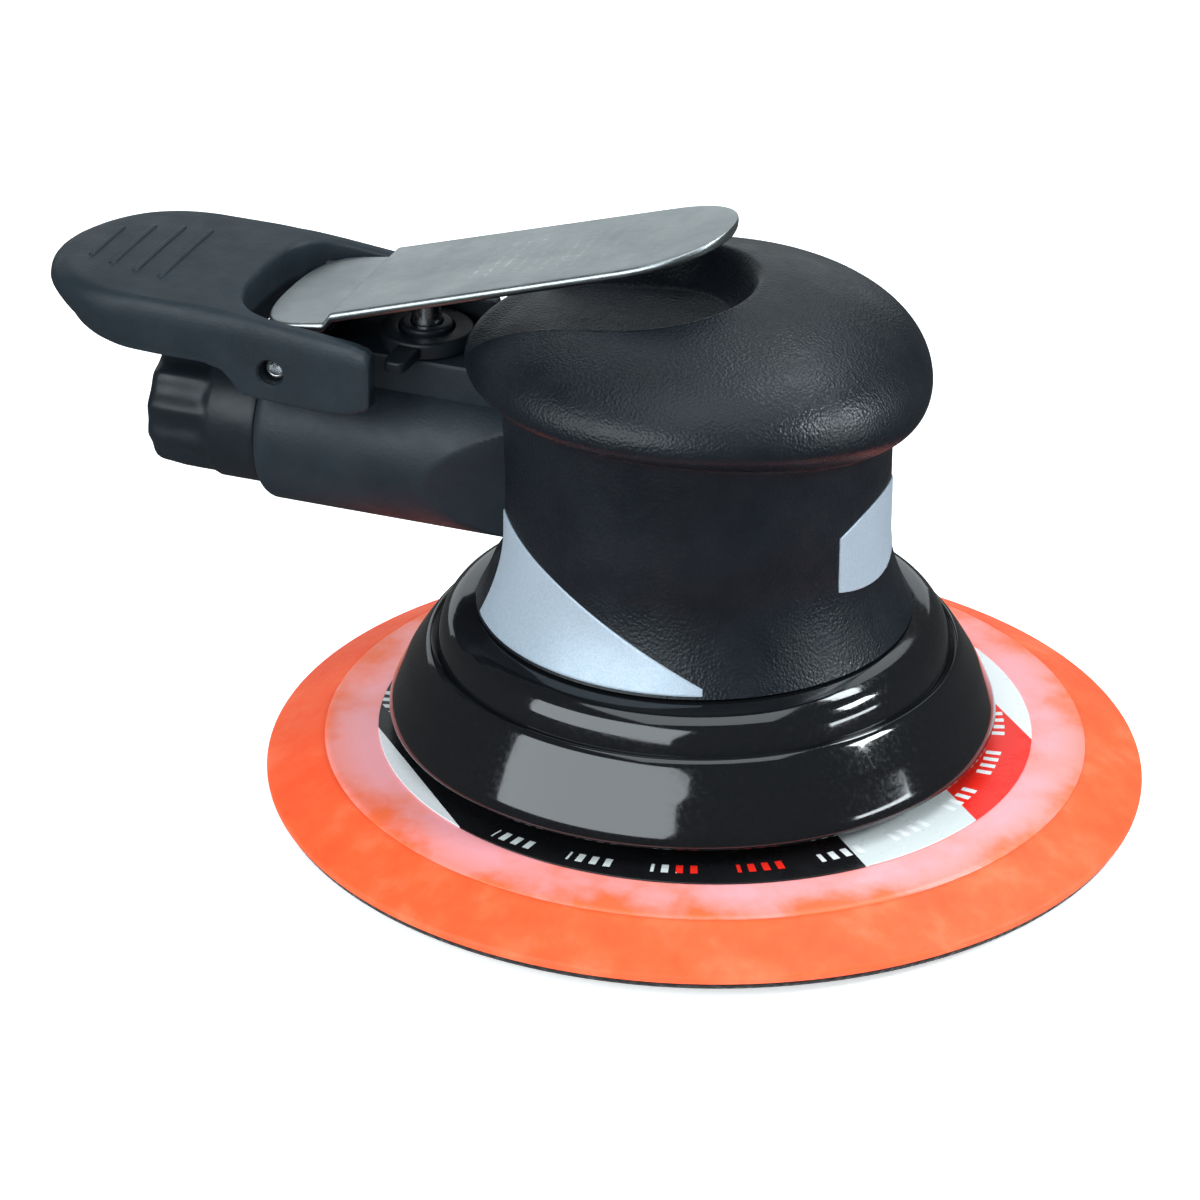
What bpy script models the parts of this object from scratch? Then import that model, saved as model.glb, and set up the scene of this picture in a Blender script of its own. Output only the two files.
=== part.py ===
"""Palm-grip air sander: random orbital drive, six-inch pad, throttle lever and wrist rest.

All sizes are in millimetres until a mesh is made. The motor axis is X = Y = 0, the handle runs
along -X and the pad's working face lies on Z = 0.
"""

import math

import bmesh
import bpy
import numpy as np

MM = 0.001
GAP = 0.3

# Pad and orbit
ORBIT = 2.38
PAD_R = 76.0
LABEL_R = 56.6

# Grip and motor barrel
BARREL_R = 31.0
BARREL_TOP = 80.0
BARREL_LOW = 29.8
MOTOR_BORE_R = 27.9
MOTOR_BORE_TOP = 78.4
GRIP_BORE_R = BARREL_R + GAP
FOOT_Z = (34.4, 36.0, 38.0, 40.5, 43.0, 46.5, 50.0, 57.0)
FOOT_R = (37.5, 36.7, 35.9, 34.9, 34.1, 33.4, 33.1, 33.1)
BULGE_R = 39.5
CROWN_Z = 94.2
CHANNEL_HALF = 17.0
CHANNEL_END = 9.5

# Handle
TUBE_R = 14.3
TUBE_Z = 55.7
TUBE_END = -76.7
NECK_HALF = 15.5
COLLAR_R = 12.0
COLLAR_FRONT = -77.0
COLLAR_END = -98.0

# Valve line and lever
VALVE_X = -49.5
PIVOT_X = -70.0
PIVOT_Z = 73.3
PIN_R = 2.0
BLOCK_NEAR = -7.6
BLOCK_FAR = 12.5
BLOCK_TOP = 74.2
LEVER_HALF = 15.6
LEVER_TAPER = 1.0
LEVER_T = 1.8
LEVER_REAR = -75.2
LEVER_REAR_Z = 78.9
LEVER_REAR_SLOPE = math.tan(math.radians(9.6))
LEVER_JOG = -61.6
LEVER_JOG_HALF = 1.0
LEVER_JOG_RISE = 1.5
LEVER_TIP = 5.5
LEVER_SLOPE = math.tan(math.radians(17.3))

# Wrist rest
REST_HALF = 20.3
REST_REAR = -118.3
REST_TAIL = 20.3
REST_FRONT = -51.8
SLOT_HALF = 17.0

COLOURS = {
    "soft_black": ((0.020, 0.023, 0.027), 0.62, 0.0),
    "slate_plastic": ((0.040, 0.052, 0.062), 0.55, 0.0),
    "gloss_black": ((0.010, 0.011, 0.013), 0.12, 0.0),
    "satin_steel": ((0.40, 0.43, 0.44), 0.34, 1.0),
    "bright_steel": ((0.62, 0.63, 0.65), 0.22, 1.0),
    "alloy": ((0.55, 0.57, 0.60), 0.40, 1.0),
    "silver_inlay": ((0.50, 0.58, 0.66), 0.38, 0.3),
    "orange_foam": ((1.0, 0.13, 0.02), 0.70, 0.0),
    "pink_skin": ((0.93, 0.36, 0.38), 0.35, 0.0),
    "hook_black": ((0.012, 0.012, 0.013), 0.85, 0.0),
    "label_print": ((0.80, 0.80, 0.79), 0.45, 0.0),
    "brass": ((0.72, 0.52, 0.20), 0.30, 1.0),
    "felt_grey": ((0.30, 0.30, 0.29), 0.95, 0.0),
    "seal_rubber": ((0.015, 0.015, 0.015), 0.60, 0.0),
    "vane_resin": ((0.20, 0.13, 0.06), 0.55, 0.0),
    "cage_resin": ((0.06, 0.06, 0.07), 0.50, 0.0),
}


def clear_scene():
    """Empties the starting scene."""
    for obj in list(bpy.data.objects):
        bpy.data.objects.remove(obj, do_unlink=True)


def make_collection(name, helper=False):
    """A collection under the scene's own; a helper one isn't rendered."""
    group = bpy.data.collections.new(name)
    group.hide_render = helper
    bpy.context.scene.collection.children.link(group)
    return group


def material(name):
    """The Principled material for one entry of COLOURS."""
    found = bpy.data.materials.get(name)
    if found:
        return found
    colour, roughness, metallic = COLOURS[name]
    made = bpy.data.materials.new(name)
    made.use_nodes = True
    shader = made.node_tree.nodes["Principled BSDF"]
    shader.inputs["Base Color"].default_value = (*colour, 1.0)
    shader.inputs["Roughness"].default_value = roughness
    shader.inputs["Metallic"].default_value = metallic
    made.diffuse_color = (*colour, 1.0)
    return made


clear_scene()
PARTS = make_collection("air_sander")
CUTTERS = make_collection("cutters", helper=True)


def place(name, points, faces, look, origin=(0.0, 0.0, 0.0)):
    """Makes one object from millimetre points, with its origin at the given point."""
    mesh = bpy.data.meshes.new(name)
    base = np.asarray(origin, float)
    local = (np.asarray(points, float) - base) * MM
    mesh.from_pydata([tuple(p) for p in local], [], [list(f) for f in faces])
    shape = bmesh.new()
    shape.from_mesh(mesh)
    bmesh.ops.recalc_face_normals(shape, faces=shape.faces)
    shape.to_mesh(mesh)
    shape.free()
    obj = bpy.data.objects.new(name, mesh)
    obj.location = tuple(base * MM)
    if look is None:
        CUTTERS.objects.link(obj)
        obj.hide_render = True
        obj.display_type = "WIRE"
    else:
        PARTS.objects.link(obj)
        mesh.materials.append(material(look))
    return obj


def turn_axis(points, axis):
    """Carries points drawn about Z so that their axis lies on X, Y or Z."""
    order = {"Z": (0, 1, 2), "X": (2, 0, 1), "Y": (1, 2, 0)}[axis]
    return np.asarray(points)[:, list(order)]


def circle(radius, steps, centre=(0.0, 0.0), turn=0.0):
    """Points round a circle, as an array of x and y."""
    angle = np.arange(steps) * 2.0 * math.pi / steps + turn
    flat = np.stack([np.cos(angle), np.sin(angle)], axis=1) * radius
    return flat + np.asarray(centre)


def lathe_mesh(profile, steps, turn=0.0):
    """Points and faces of a profile of (radius, height) spun about Z.

    A profile whose ends lie on the axis closes there in a pole. Any other closes on itself.
    """
    points = []
    rows = []
    angle = np.arange(steps) * 2.0 * math.pi / steps + turn
    for radius, height in profile:
        if radius <= 0.0:
            rows.append([len(points)])
            points.append((0.0, 0.0, height))
        else:
            rows.append(list(range(len(points), len(points) + steps)))
            points += [(radius * math.cos(a), radius * math.sin(a), height) for a in angle]
    pairs = list(zip(rows, rows[1:]))
    if profile[0][0] > 0.0:
        pairs.append((rows[-1], rows[0]))
    faces = []
    for low, high in pairs:
        for j in range(steps):
            k = (j + 1) % steps
            if len(low) == 1 and len(high) == 1:
                continue
            if len(low) == 1:
                faces.append((low[0], high[k], high[j]))
            elif len(high) == 1:
                faces.append((low[j], low[k], high[0]))
            else:
                faces.append((low[j], low[k], high[k], high[j]))
    return np.array(points), faces


def lathe(name, profile, look, at=(0.0, 0.0, 0.0), axis="Z", steps=32, origin=None):
    """A turned piece: the profile's heights run along the axis, from the point given by at."""
    points, faces = lathe_mesh(profile, steps, math.pi / steps)
    points = turn_axis(points, axis) + np.asarray(at, float)
    return place(name, points, faces, look, at if origin is None else origin)


def loft(name, rings, look, origin=(0.0, 0.0, 0.0)):
    """A solid through closed rings of equal count, capped flat at both ends."""
    rings = np.asarray(rings, float)
    count, steps, _ = rings.shape
    faces = []
    for i in range(count - 1):
        for j in range(steps):
            k = (j + 1) % steps
            faces.append((i * steps + j, i * steps + k, (i + 1) * steps + k, (i + 1) * steps + j))
    faces.append(tuple(range(steps))[::-1])
    faces.append(tuple((count - 1) * steps + j for j in range(steps)))
    return place(name, rings.reshape(-1, 3), faces, look, origin)


def prism(name, outline, low, high, look, axis="Z", origin=(0.0, 0.0, 0.0)):
    """A flat outline pushed along an axis from low to high."""
    outline = np.asarray(outline, float)
    rings = []
    for level in (low, high):
        ring = np.column_stack([outline, np.full(len(outline), level)])
        rings.append(turn_axis(ring, axis))
    return loft(name, rings, look, origin)


def box(name, low, high, look, origin=(0.0, 0.0, 0.0)):
    """A box between two corners."""
    outline = [(low[0], low[1]), (high[0], low[1]), (high[0], high[1]), (low[0], high[1])]
    return prism(name, outline, low[2], high[2], look, "Z", origin)


def combine(obj, other, operation):
    """Adds one exact Boolean to an object."""
    modifier = obj.modifiers.new(operation.lower() + "_" + other.name, "BOOLEAN")
    modifier.operation = operation
    modifier.solver = "EXACT"
    modifier.object = other


def cut(obj, *others):
    """Cuts each helper out of an object."""
    for other in others:
        combine(obj, other, "DIFFERENCE")


def add(obj, *others):
    """Joins each helper to an object."""
    for other in others:
        combine(obj, other, "UNION")


def smooth_step(value, low, high):
    """Eases from 0 at low to 1 at high."""
    t = np.clip((value - low) / (high - low), 0.0, 1.0)
    return t * t * (3.0 - 2.0 * t)


# ---------------------------------------------------------------- grip surface


def to_front(theta):
    """0 in front, 1 at the sides and behind, by way of a softened sine."""
    if math.cos(theta) <= 0.0:
        return 1.0
    return (math.sqrt(math.sin(theta) ** 2 + 0.04) - 0.2) / (math.sqrt(1.04) - 0.2)


def crease_height(theta):
    """Height of the fold under the grip's bulge: lower in front."""
    return 69.2 + 6.0 * to_front(theta)


def bulge_height(theta):
    """Height at which the grip is widest: lower in front."""
    return 76.0 + 4.0 * to_front(theta)


def grip_radius(theta, height):
    """Radius of the grip's outside at an angle from the front and a height."""
    crease = crease_height(theta)
    foot = float(np.interp(height, FOOT_Z, FOOT_R))
    if height <= crease:
        return foot
    widest = bulge_height(theta)
    if height <= widest:
        rise = (height - crease) / (widest - crease)
        return foot + (BULGE_R - foot) * math.sin(min(rise, 1.0) * math.pi / 2.0) ** 0.85
    fall = min((height - widest) / (CROWN_Z - widest), 1.0)
    return BULGE_R * math.sqrt(max(1.0 - fall**2.0, 0.0))


def grip_rings(steps):
    """Rows of points up the outside of the grip, from its foot to its crown."""
    rings = []
    angle = np.arange(steps) * 2.0 * math.pi / steps
    for height in FOOT_Z:
        rings.append([(grip_radius(a, height), a, height) for a in angle])
    for part in (0.0, 0.16, 0.36, 0.62):
        ring = []
        for a in angle:
            start = crease_height(a)
            height = start + (bulge_height(a) - start) * part
            ring.append((grip_radius(a, height), a, height))
        rings.append(ring)
    for part in (0.0, 0.25, 0.47, 0.66, 0.81, 0.91, 0.98):
        ring = []
        for a in angle:
            widest = bulge_height(a)
            height = widest + (CROWN_Z - widest) * part
            ring.append((grip_radius(a, height), a, height))
        rings.append(ring)
    return [[(r * math.cos(a), r * math.sin(a), h) for r, a, h in ring] for ring in rings]


def neck_section(x, grow=0.0):
    """The handle's cross-section at one place along X, as a ring of points."""
    blend = float(smooth_step(-x, 34.0, 58.0))
    half = (NECK_HALF + (TUBE_R - NECK_HALF) * blend) + grow
    top = (76.0 + (TUBE_Z + TUBE_R - 76.0) * blend) + grow
    low = TUBE_Z - TUBE_R - grow
    power = 0.62 + 0.38 * blend
    middle = (top + low) / 2.0
    reach = (top - low) / 2.0
    ring = []
    for a in np.arange(32) * 2.0 * math.pi / 32:
        c = math.cos(a)
        s = math.sin(a)
        y = half * math.copysign(abs(c) ** power, c)
        z = middle + reach * math.copysign(abs(s) ** power, s)
        ring.append((x, y, z))
    return ring


# ---------------------------------------------------------------- pad

PAD_AT = (ORBIT, 0.0, 0.0)

lathe("pad_hook_face", [(0.0, 0.0), (75.2, 0.0), (75.6, 0.4), (75.6, 1.2), (0.0, 1.2)],
      "hook_black", PAD_AT, steps=56)
lathe("pad_foam",
      [(0.0, 1.4), (75.6, 1.4), (PAD_R, 2.0), (PAD_R, 2.9), (67.0, 8.1), (66.1, 8.5),
       (65.7, 8.3), (64.0, 6.9), (12.2, 6.9), (12.2, 3.6), (0.0, 3.6)],
      "orange_foam", PAD_AT, steps=56)
lathe("pad_backing_plate",
      [(8.2, 7.1), (63.9, 7.1), (65.4, 8.3), (65.5, 8.9), (64.6, 9.3), (57.6, 9.9), (8.2, 9.9)],
      "pink_skin", PAD_AT, steps=56)
lathe("pad_label", [(11.0, 10.1), (LABEL_R, 10.1), (LABEL_R, 10.4), (11.0, 10.4)],
      "label_print", PAD_AT, steps=56)
lathe("pad_stud",
      [(0.0, 3.8), (11.8, 3.8), (11.8, 6.8), (7.9, 6.8), (7.9, 10.5), (3.9, 10.5), (3.9, 23.2),
       (3.2, 24.0), (0.0, 24.0)],
      "bright_steel", PAD_AT)
lathe("pad_washer", [(4.2, 10.7), (9.0, 10.7), (9.0, 11.2), (4.2, 11.2)], "felt_grey", PAD_AT)

# ---------------------------------------------------------------- spindle and its bearing

SPINDLE_HEX = 12.6
spindle = lathe("spindle",
                [(0.0, 26.5), (4.2, 25.0), (4.2, 11.5), (11.4, 11.5), (SPINDLE_HEX, 12.1),
                 (SPINDLE_HEX, 14.4), (8.0, 14.4), (5.95, 14.9), (5.95, 29.0), (5.2, 29.8),
                 (0.0, 29.8)],
                "bright_steel", PAD_AT)
lathe("dust_shield", [(6.2, 15.0), (12.0, 15.0), (12.0, 15.5), (6.2, 15.5)], "bright_steel", PAD_AT)


def ball_cage(name, inner, outer, rows, ball_r, low, high, at):
    """Bearing balls and the cage that spaces them, as one turned ring with a bead per row."""
    middle = (inner + outer) / 2.0
    web = (outer - inner) * 0.22
    side_out = []
    side_in = []
    for row in rows:
        for a in np.linspace(-math.pi / 2.0, math.pi / 2.0, 5):
            reach = max(ball_r * math.cos(a), web)
            side_out.append((middle + reach, row + ball_r * math.sin(a)))
            side_in.append((middle - reach, row + ball_r * math.sin(a)))
    profile = [(middle - web, low), (middle + web, low)] + side_out
    profile += [(middle + web, high), (middle - web, high)] + side_in[::-1]
    return lathe(name, profile, "cage_resin", at, steps=20)


def bearing(stem, bore, outside, low, high, rows, at=(0.0, 0.0, 0.0)):
    """A ball bearing as inner ring, caged balls and outer ring, each with running clearance."""
    wall = (outside - bore) * 0.27
    inner_top = bore + wall
    outer_low = outside - wall
    lathe(stem + "_inner_ring", [(bore, low), (inner_top, low), (inner_top, high), (bore, high)],
          "bright_steel", at, steps=24)
    lathe(stem + "_outer_ring",
          [(outer_low, low), (outside, low), (outside, high), (outer_low, high)],
          "bright_steel", at, steps=24)
    span = outer_low - inner_top
    ball_cage(stem + "_ball_cage", inner_top, outer_low, rows, span * 0.5 - 0.12,
              low + 0.4, high - 0.4, at)


bearing("spindle_bearing", 6.05, 14.0, 16.7, 29.3, (20.0, 26.0), PAD_AT)
lathe("spindle_retaining_ring", [(12.4, 15.7), (14.0, 15.7), (14.0, 16.4), (12.4, 16.4)],
      "bright_steel", PAD_AT)

# ---------------------------------------------------------------- balancer shaft and rotor

balancer = lathe("balancer_shaft",
                 [(0.0, 15.4), (18.7, 15.4), (18.7, 33.2), (8.5, 33.2), (8.5, 37.9), (5.95, 37.9),
                  (5.95, 67.0), (4.95, 67.4), (4.95, 77.6), (0.0, 77.6)],
                 "alloy", steps=40)
spindle_pocket = lathe("cut_spindle_pocket", [(0.0, 14.0), (14.15, 14.0), (14.15, 30.4), (0.0, 30.4)],
                       None, PAD_AT)
sweep = np.radians(np.linspace(100.0, 260.0, 17))
weight_outline = [(36.0 * math.cos(a), 36.0 * math.sin(a)) for a in sweep]
weight_outline += [(17.6 * math.cos(a), 17.6 * math.sin(a)) for a in sweep[::-1]]
weight = prism("add_counterweight", weight_outline, 17.0, 24.0, None)
key_seat = box("cut_shaft_key_seat", (4.4, -1.35, 50.7), (7.0, 1.35, 65.3), None)
add(balancer, weight)
cut(balancer, spindle_pocket, key_seat)
box("rotor_key", (4.6, -1.2, 51.0), (7.4, 1.2, 65.0), "bright_steel")

ROTOR_R = 20.9
ROTOR_LOW = 49.4
ROTOR_HIGH = 66.5
VANE_DEEP = 7.6
VANE_HALF = 1.0
rotor = lathe("rotor",
              [(6.1, ROTOR_LOW), (ROTOR_R, ROTOR_LOW), (ROTOR_R, ROTOR_HIGH), (6.1, ROTOR_HIGH)],
              "alloy", steps=60)
rotor_keyway = box("cut_rotor_keyway", (5.0, -1.35, 48.0), (7.6, 1.35, 68.0), None)
cut(rotor, rotor_keyway)
VANE_ANGLES = [36.0, 108.0, 180.0, 252.0, 324.0]


def turned_box(name, low, high, angle, look, origin=(0.0, 0.0, 0.0)):
    """A box drawn along the radius, then turned about Z by an angle in degrees."""
    a = math.radians(angle)
    corners = [(low[0], low[1]), (high[0], low[1]), (high[0], high[1]), (low[0], high[1])]
    outline = [(x * math.cos(a) - y * math.sin(a), x * math.sin(a) + y * math.cos(a))
               for x, y in corners]
    return prism(name, outline, low[2], high[2], look, "Z", origin)


for number, angle in enumerate(VANE_ANGLES, 1):
    slot = turned_box(f"cut_vane_slot_{number}",
                      (ROTOR_R - VANE_DEEP - 0.6, -VANE_HALF - 0.1, ROTOR_LOW - 1.0),
                      (ROTOR_R + 2.0, VANE_HALF + 0.1, ROTOR_HIGH + 1.0), angle, None)
    cut(rotor, slot)
    turned_box(f"vane_{number}",
               (ROTOR_R - VANE_DEEP - 0.3, -VANE_HALF, ROTOR_LOW + 0.1),
               (ROTOR_R - 0.3, VANE_HALF, ROTOR_HIGH - 0.1), angle, "vane_resin")

bearing("front_bearing", 6.05, 14.0, 38.2, 46.2, (42.2,))
bearing("rear_bearing", 5.05, 11.0, 69.5, 76.3, (72.9,))

# ---------------------------------------------------------------- cylinder and end plates

CYLINDER_SHIFT = -1.2
CYLINDER_BORE_R = 23.2
PLATE_R = 27.6
outer_circle = circle(PLATE_R, 48)
inner_circle = circle(CYLINDER_BORE_R, 48, (CYLINDER_SHIFT, 0.0))
cylinder_points = []
for ring, level in ((outer_circle, 49.1), (outer_circle, 66.8), (inner_circle, 66.8),
                    (inner_circle, 49.1)):
    cylinder_points += [(x, y, level) for x, y in ring]
cylinder_faces = []
for i in range(4):
    for j in range(48):
        k = (j + 1) % 48
        n = (i + 1) % 4
        cylinder_faces.append((i * 48 + j, i * 48 + k, n * 48 + k, n * 48 + j))
cylinder = place("cylinder", cylinder_points, cylinder_faces, "bright_steel")
inlet_port = lathe("cut_cylinder_inlet", [(0.0, -29.0), (2.6, -29.0), (2.6, -22.0), (0.0, -22.0)],
                   None, (0.0, 0.0, TUBE_Z), "X", 12)
front_plate = lathe("front_endplate",
                    [(14.15, 37.5), (PLATE_R, 37.5), (PLATE_R, 48.9), (7.2, 48.9), (7.2, 46.5),
                     (14.15, 46.5)], "alloy", steps=48)
rear_plate = lathe("rear_endplate",
                   [(7.0, 67.0), (PLATE_R, 67.0), (PLATE_R, 78.0), (11.15, 78.0), (11.15, 69.2),
                    (7.0, 69.2)], "alloy", steps=48)
PIN_AT = (0.0, 25.3, 0.0)
pin_hole = lathe("cut_cylinder_pin", [(0.0, 44.0), (1.2, 44.0), (1.2, 71.0), (0.0, 71.0)], None,
                 PIN_AT, "Z", 12)
lathe("cylinder_pin", [(0.0, 44.3), (1.0, 44.3), (1.0, 70.7), (0.0, 70.7)], "bright_steel", PIN_AT,
      "Z", 12)
cut(cylinder, inlet_port, pin_hole)
cut(front_plate, pin_hole)
cut(rear_plate, pin_hole)
lathe("motor_lock_ring",
      [(9.2, 34.4), (MOTOR_BORE_R - 0.2, 34.4), (MOTOR_BORE_R - 0.2, 37.2), (9.2, 37.2)], "alloy",
      steps=48)

# ---------------------------------------------------------------- housing

housing = lathe("housing",
                [(0.0, BARREL_LOW), (BARREL_R - 0.6, BARREL_LOW), (BARREL_R, BARREL_LOW + 0.6),
                 (BARREL_R, 78.0), (28.5, BARREL_TOP), (0.0, BARREL_TOP)],
                "slate_plastic", steps=48)
neck_places = [-24.0, -34.0, -38.0, -42.0, -46.0, -50.0, -54.0, -58.0, TUBE_END + 2.0]
neck_rings = [neck_section(x) for x in neck_places]
end_ring = np.array(neck_section(TUBE_END))
end_ring[:, 1] *= 0.87
end_ring[:, 2] = TUBE_Z + (end_ring[:, 2] - TUBE_Z) * 0.87
neck = loft("add_neck_and_tube", neck_rings + [end_ring], None)


def ear_outline(half_wide, low, top_z):
    """The side view of a lug round the lever pin: square foot, round head."""
    outline = [(PIVOT_X - half_wide, low)]
    for a in np.linspace(math.pi, 0.0, 9):
        outline.append((PIVOT_X + half_wide * math.cos(a), top_z + half_wide * math.sin(a)))
    outline.append((PIVOT_X + half_wide, low))
    return outline


def side_prism(name, outline_xz, low_y, high_y, look, origin=(0.0, 0.0, 0.0)):
    """A side view in X and Z pushed along Y."""
    rings = [[(x, y, z) for x, z in outline_xz] for y in (low_y, high_y)]
    return loft(name, rings, look, origin)


lugs = [side_prism(f"add_pivot_lug_{side}", ear_outline(3.8, 64.0, PIVOT_Z), *span, None)
        for side, span in (("near", (-9.8, -5.0)), ("far", (5.0, 9.8)))]
valve_block = box("add_valve_block", (-65.0, BLOCK_NEAR, 60.0), (-34.0, BLOCK_FAR, BLOCK_TOP), None)
valve_guard = box("add_valve_guard", (-60.0, 9.2, 70.0), (-40.4, BLOCK_FAR, 79.4), None)
add(housing, neck, valve_block, valve_guard, *lugs)
motor_bore = lathe("cut_motor_bore",
                   [(0.0, BARREL_LOW - 2.0), (MOTOR_BORE_R, BARREL_LOW - 2.0),
                    (MOTOR_BORE_R, MOTOR_BORE_TOP), (0.0, MOTOR_BORE_TOP)], None, steps=48)
tube_bore = lathe("cut_tube_bore",
                  [(0.0, -82.0), (8.5, -82.0), (8.5, -61.4), (8.4, -57.9), (6.6, -57.9),
                   (6.6, -53.0), (0.0, -53.0)], None, (0.0, 0.0, TUBE_Z), "X", 24)
feed_bore = lathe("cut_feed_bore", [(0.0, -52.0), (3.0, -52.0), (3.0, -26.0), (0.0, -26.0)], None,
                  (0.0, 0.0, TUBE_Z), "X", 16)
exhaust_bore = lathe("cut_exhaust_bore", [(0.0, -82.0), (1.8, -82.0), (1.8, -26.0), (0.0, -26.0)],
                     None, (0.0, 0.0, 44.7), "X", 12)
VALVE_AT = (VALVE_X, 0.0, 0.0)
valve_bore = lathe("cut_valve_bore",
                   [(0.0, 48.5), (5.4, 48.5), (5.4, 63.0), (7.1, 63.0), (7.1, 84.0), (0.0, 84.0)],
                   None, VALVE_AT, "Z", 24)
pin_through = lathe("cut_pin_through", [(0.0, -24.0), (PIN_R + 0.1, -24.0), (PIN_R + 0.1, 24.0),
                                        (0.0, 24.0)], None, (PIVOT_X, 0.0, PIVOT_Z), "Y", 24)
cut(housing, motor_bore, tube_bore, feed_bore, exhaust_bore, valve_bore, pin_through)

# ---------------------------------------------------------------- handle end

lathe("inlet_bushing",
      [(5.6, COLLAR_END - 0.4), (8.2, COLLAR_END - 0.4), (8.2, -76.2), (4.4, -76.2), (4.4, -84.0),
       (5.6, -84.8)], "bright_steel", (0.0, 0.0, TUBE_Z), "X", 32)


def collar_ring(x, radius, flat):
    """A round section that turns into twelve scalloped flats as flat goes from 0 to 1."""
    ring = []
    for i in range(48):
        a = i * 2.0 * math.pi / 48
        off = (math.degrees(a) % 30.0) - 15.0
        scallop = 0.55 * math.cos(math.radians(off * 6.0)) + 0.25
        r = radius - flat * max(scallop, 0.0)
        ring.append((x, r * math.cos(a), TUBE_Z + r * math.sin(a)))
    return ring


collar = loft("muffler_cap",
              [collar_ring(COLLAR_FRONT, COLLAR_R - 0.4, 0.0), collar_ring(COLLAR_FRONT - 0.5, COLLAR_R, 0.0),
               collar_ring(-86.4, COLLAR_R, 0.0), collar_ring(-88.0, COLLAR_R, 1.0),
               collar_ring(-96.8, COLLAR_R, 1.0), collar_ring(COLLAR_END, COLLAR_R - 1.2, 0.6)],
              "soft_black")
collar_bore = lathe("cut_collar_bore",
                    [(0.0, -100.0), (8.5, -100.0), (8.5, -96.4), (10.3, -96.4), (10.3, -75.0),
                     (0.0, -75.0)], None, (0.0, 0.0, TUBE_Z), "X", 32)
cut(collar, collar_bore)
lathe("muffler_felt", [(8.5, -96.1), (10.1, -96.1), (10.1, -81.2), (8.5, -81.2)], "felt_grey",
      (0.0, 0.0, TUBE_Z), "X", 32)
lathe("valve_seat", [(3.6, -61.1), (8.2, -61.1), (8.2, -58.2), (3.6, -58.2)], "seal_rubber",
      (0.0, 0.0, TUBE_Z), "X", 24)

TIP_PIVOT = (-61.4, 0.0, TUBE_Z + 5.0)
lathe("tip_valve",
      [(0.0, -64.4), (3.0, -64.4), (5.1, -63.4), (5.1, -61.4), (1.6, -61.4), (1.6, -46.4),
       (1.0, -45.8), (0.0, -45.8)], "brass", (0.0, 0.0, TUBE_Z), "X", 16, TIP_PIVOT)


def coil(name, radius, wire, low, high, turns, look, axis, at, origin=None):
    """A round-wire coil about an axis, closed by flat ends."""
    around = 12
    count = int(turns * around) + 1
    rings = []
    for i in range(count):
        t = i / (count - 1)
        a = t * turns * 2.0 * math.pi
        along = low + wire + (high - low - 2.0 * wire) * t
        pitch = (high - low - 2.0 * wire) / (turns * 2.0 * math.pi)
        tangent = np.array([-radius * math.sin(a), radius * math.cos(a), pitch])
        tangent /= np.linalg.norm(tangent)
        out = np.array([math.cos(a), math.sin(a), 0.0])
        side = np.cross(tangent, out)
        centre = np.array([radius * math.cos(a), radius * math.sin(a), along])
        rings.append([centre + wire * (math.cos(b) * out + math.sin(b) * side)
                      for b in np.arange(6) * math.pi / 3.0])
    rings = np.array(rings)
    shape = turn_axis(rings.reshape(-1, 3), axis).reshape(rings.shape) + np.asarray(at, float)
    return loft(name, shape, look, at if origin is None else origin)


coil("valve_spring", 3.6, 0.4, -75.0, -64.7, 5.0, "bright_steel", "X", (0.0, 0.0, TUBE_Z),
     TIP_PIVOT)

# ---------------------------------------------------------------- speed regulator and plunger

regulator = lathe("speed_regulator",
                  [(4.9, 63.4), (6.8, 63.4), (6.8, 67.4), (6.1, 67.4), (6.1, 68.8), (6.8, 68.8),
                   (6.8, 74.6), (8.3, 74.6), (8.3, 77.0), (7.9, 77.4), (4.9, 77.4)],
                  "soft_black", VALVE_AT, steps=32)
regulator_tab = box("add_regulator_tab", (VALVE_X - 2.2, -15.4, 74.8), (VALVE_X + 2.2, -7.4, 76.8),
                    None)
add(regulator, regulator_tab)
bead = [(6.57 + 0.42 * math.cos(a), 68.1 + 0.42 * math.sin(a))
        for a in np.arange(8) * math.pi / 4.0]
lathe("regulator_o_ring", bead, "seal_rubber", VALVE_AT, steps=24)
lathe("plunger_bushing", [(2.85, 62.6), (4.6, 62.6), (4.6, 77.9), (4.2, 78.3), (2.85, 78.3)],
      "brass", VALVE_AT, steps=24)
lathe("valve_plunger",
      [(0.0, 57.6), (1.8, 57.6), (2.6, 58.7), (2.6, 72.0), (2.0, 72.0), (2.0, 73.2), (2.6, 73.2), (2.6, 82.8),
       (2.2, 84.1), (1.2, 84.9), (0.0, 85.1)], "bright_steel", VALVE_AT, steps=24)
bead = [(2.41 + 0.34 * math.cos(a), 72.6 + 0.34 * math.sin(a))
        for a in np.arange(8) * math.pi / 4.0]
lathe("plunger_o_ring", bead, "seal_rubber", VALVE_AT, steps=20)

# ---------------------------------------------------------------- throttle lever


def lever_height(x):
    """Middle of the lever's sheet: a gentle climb, a short jog, then a straight climb."""
    low = LEVER_JOG - LEVER_JOG_HALF
    high = LEVER_JOG + LEVER_JOG_HALF
    z = LEVER_REAR_Z + (min(x, low) - LEVER_REAR) * LEVER_REAR_SLOPE
    z += (LEVER_JOG_RISE + 2.0 * LEVER_JOG_HALF * LEVER_SLOPE) * float(smooth_step(x, low, high))
    return z + max(x - high, 0.0) * LEVER_SLOPE


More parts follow.
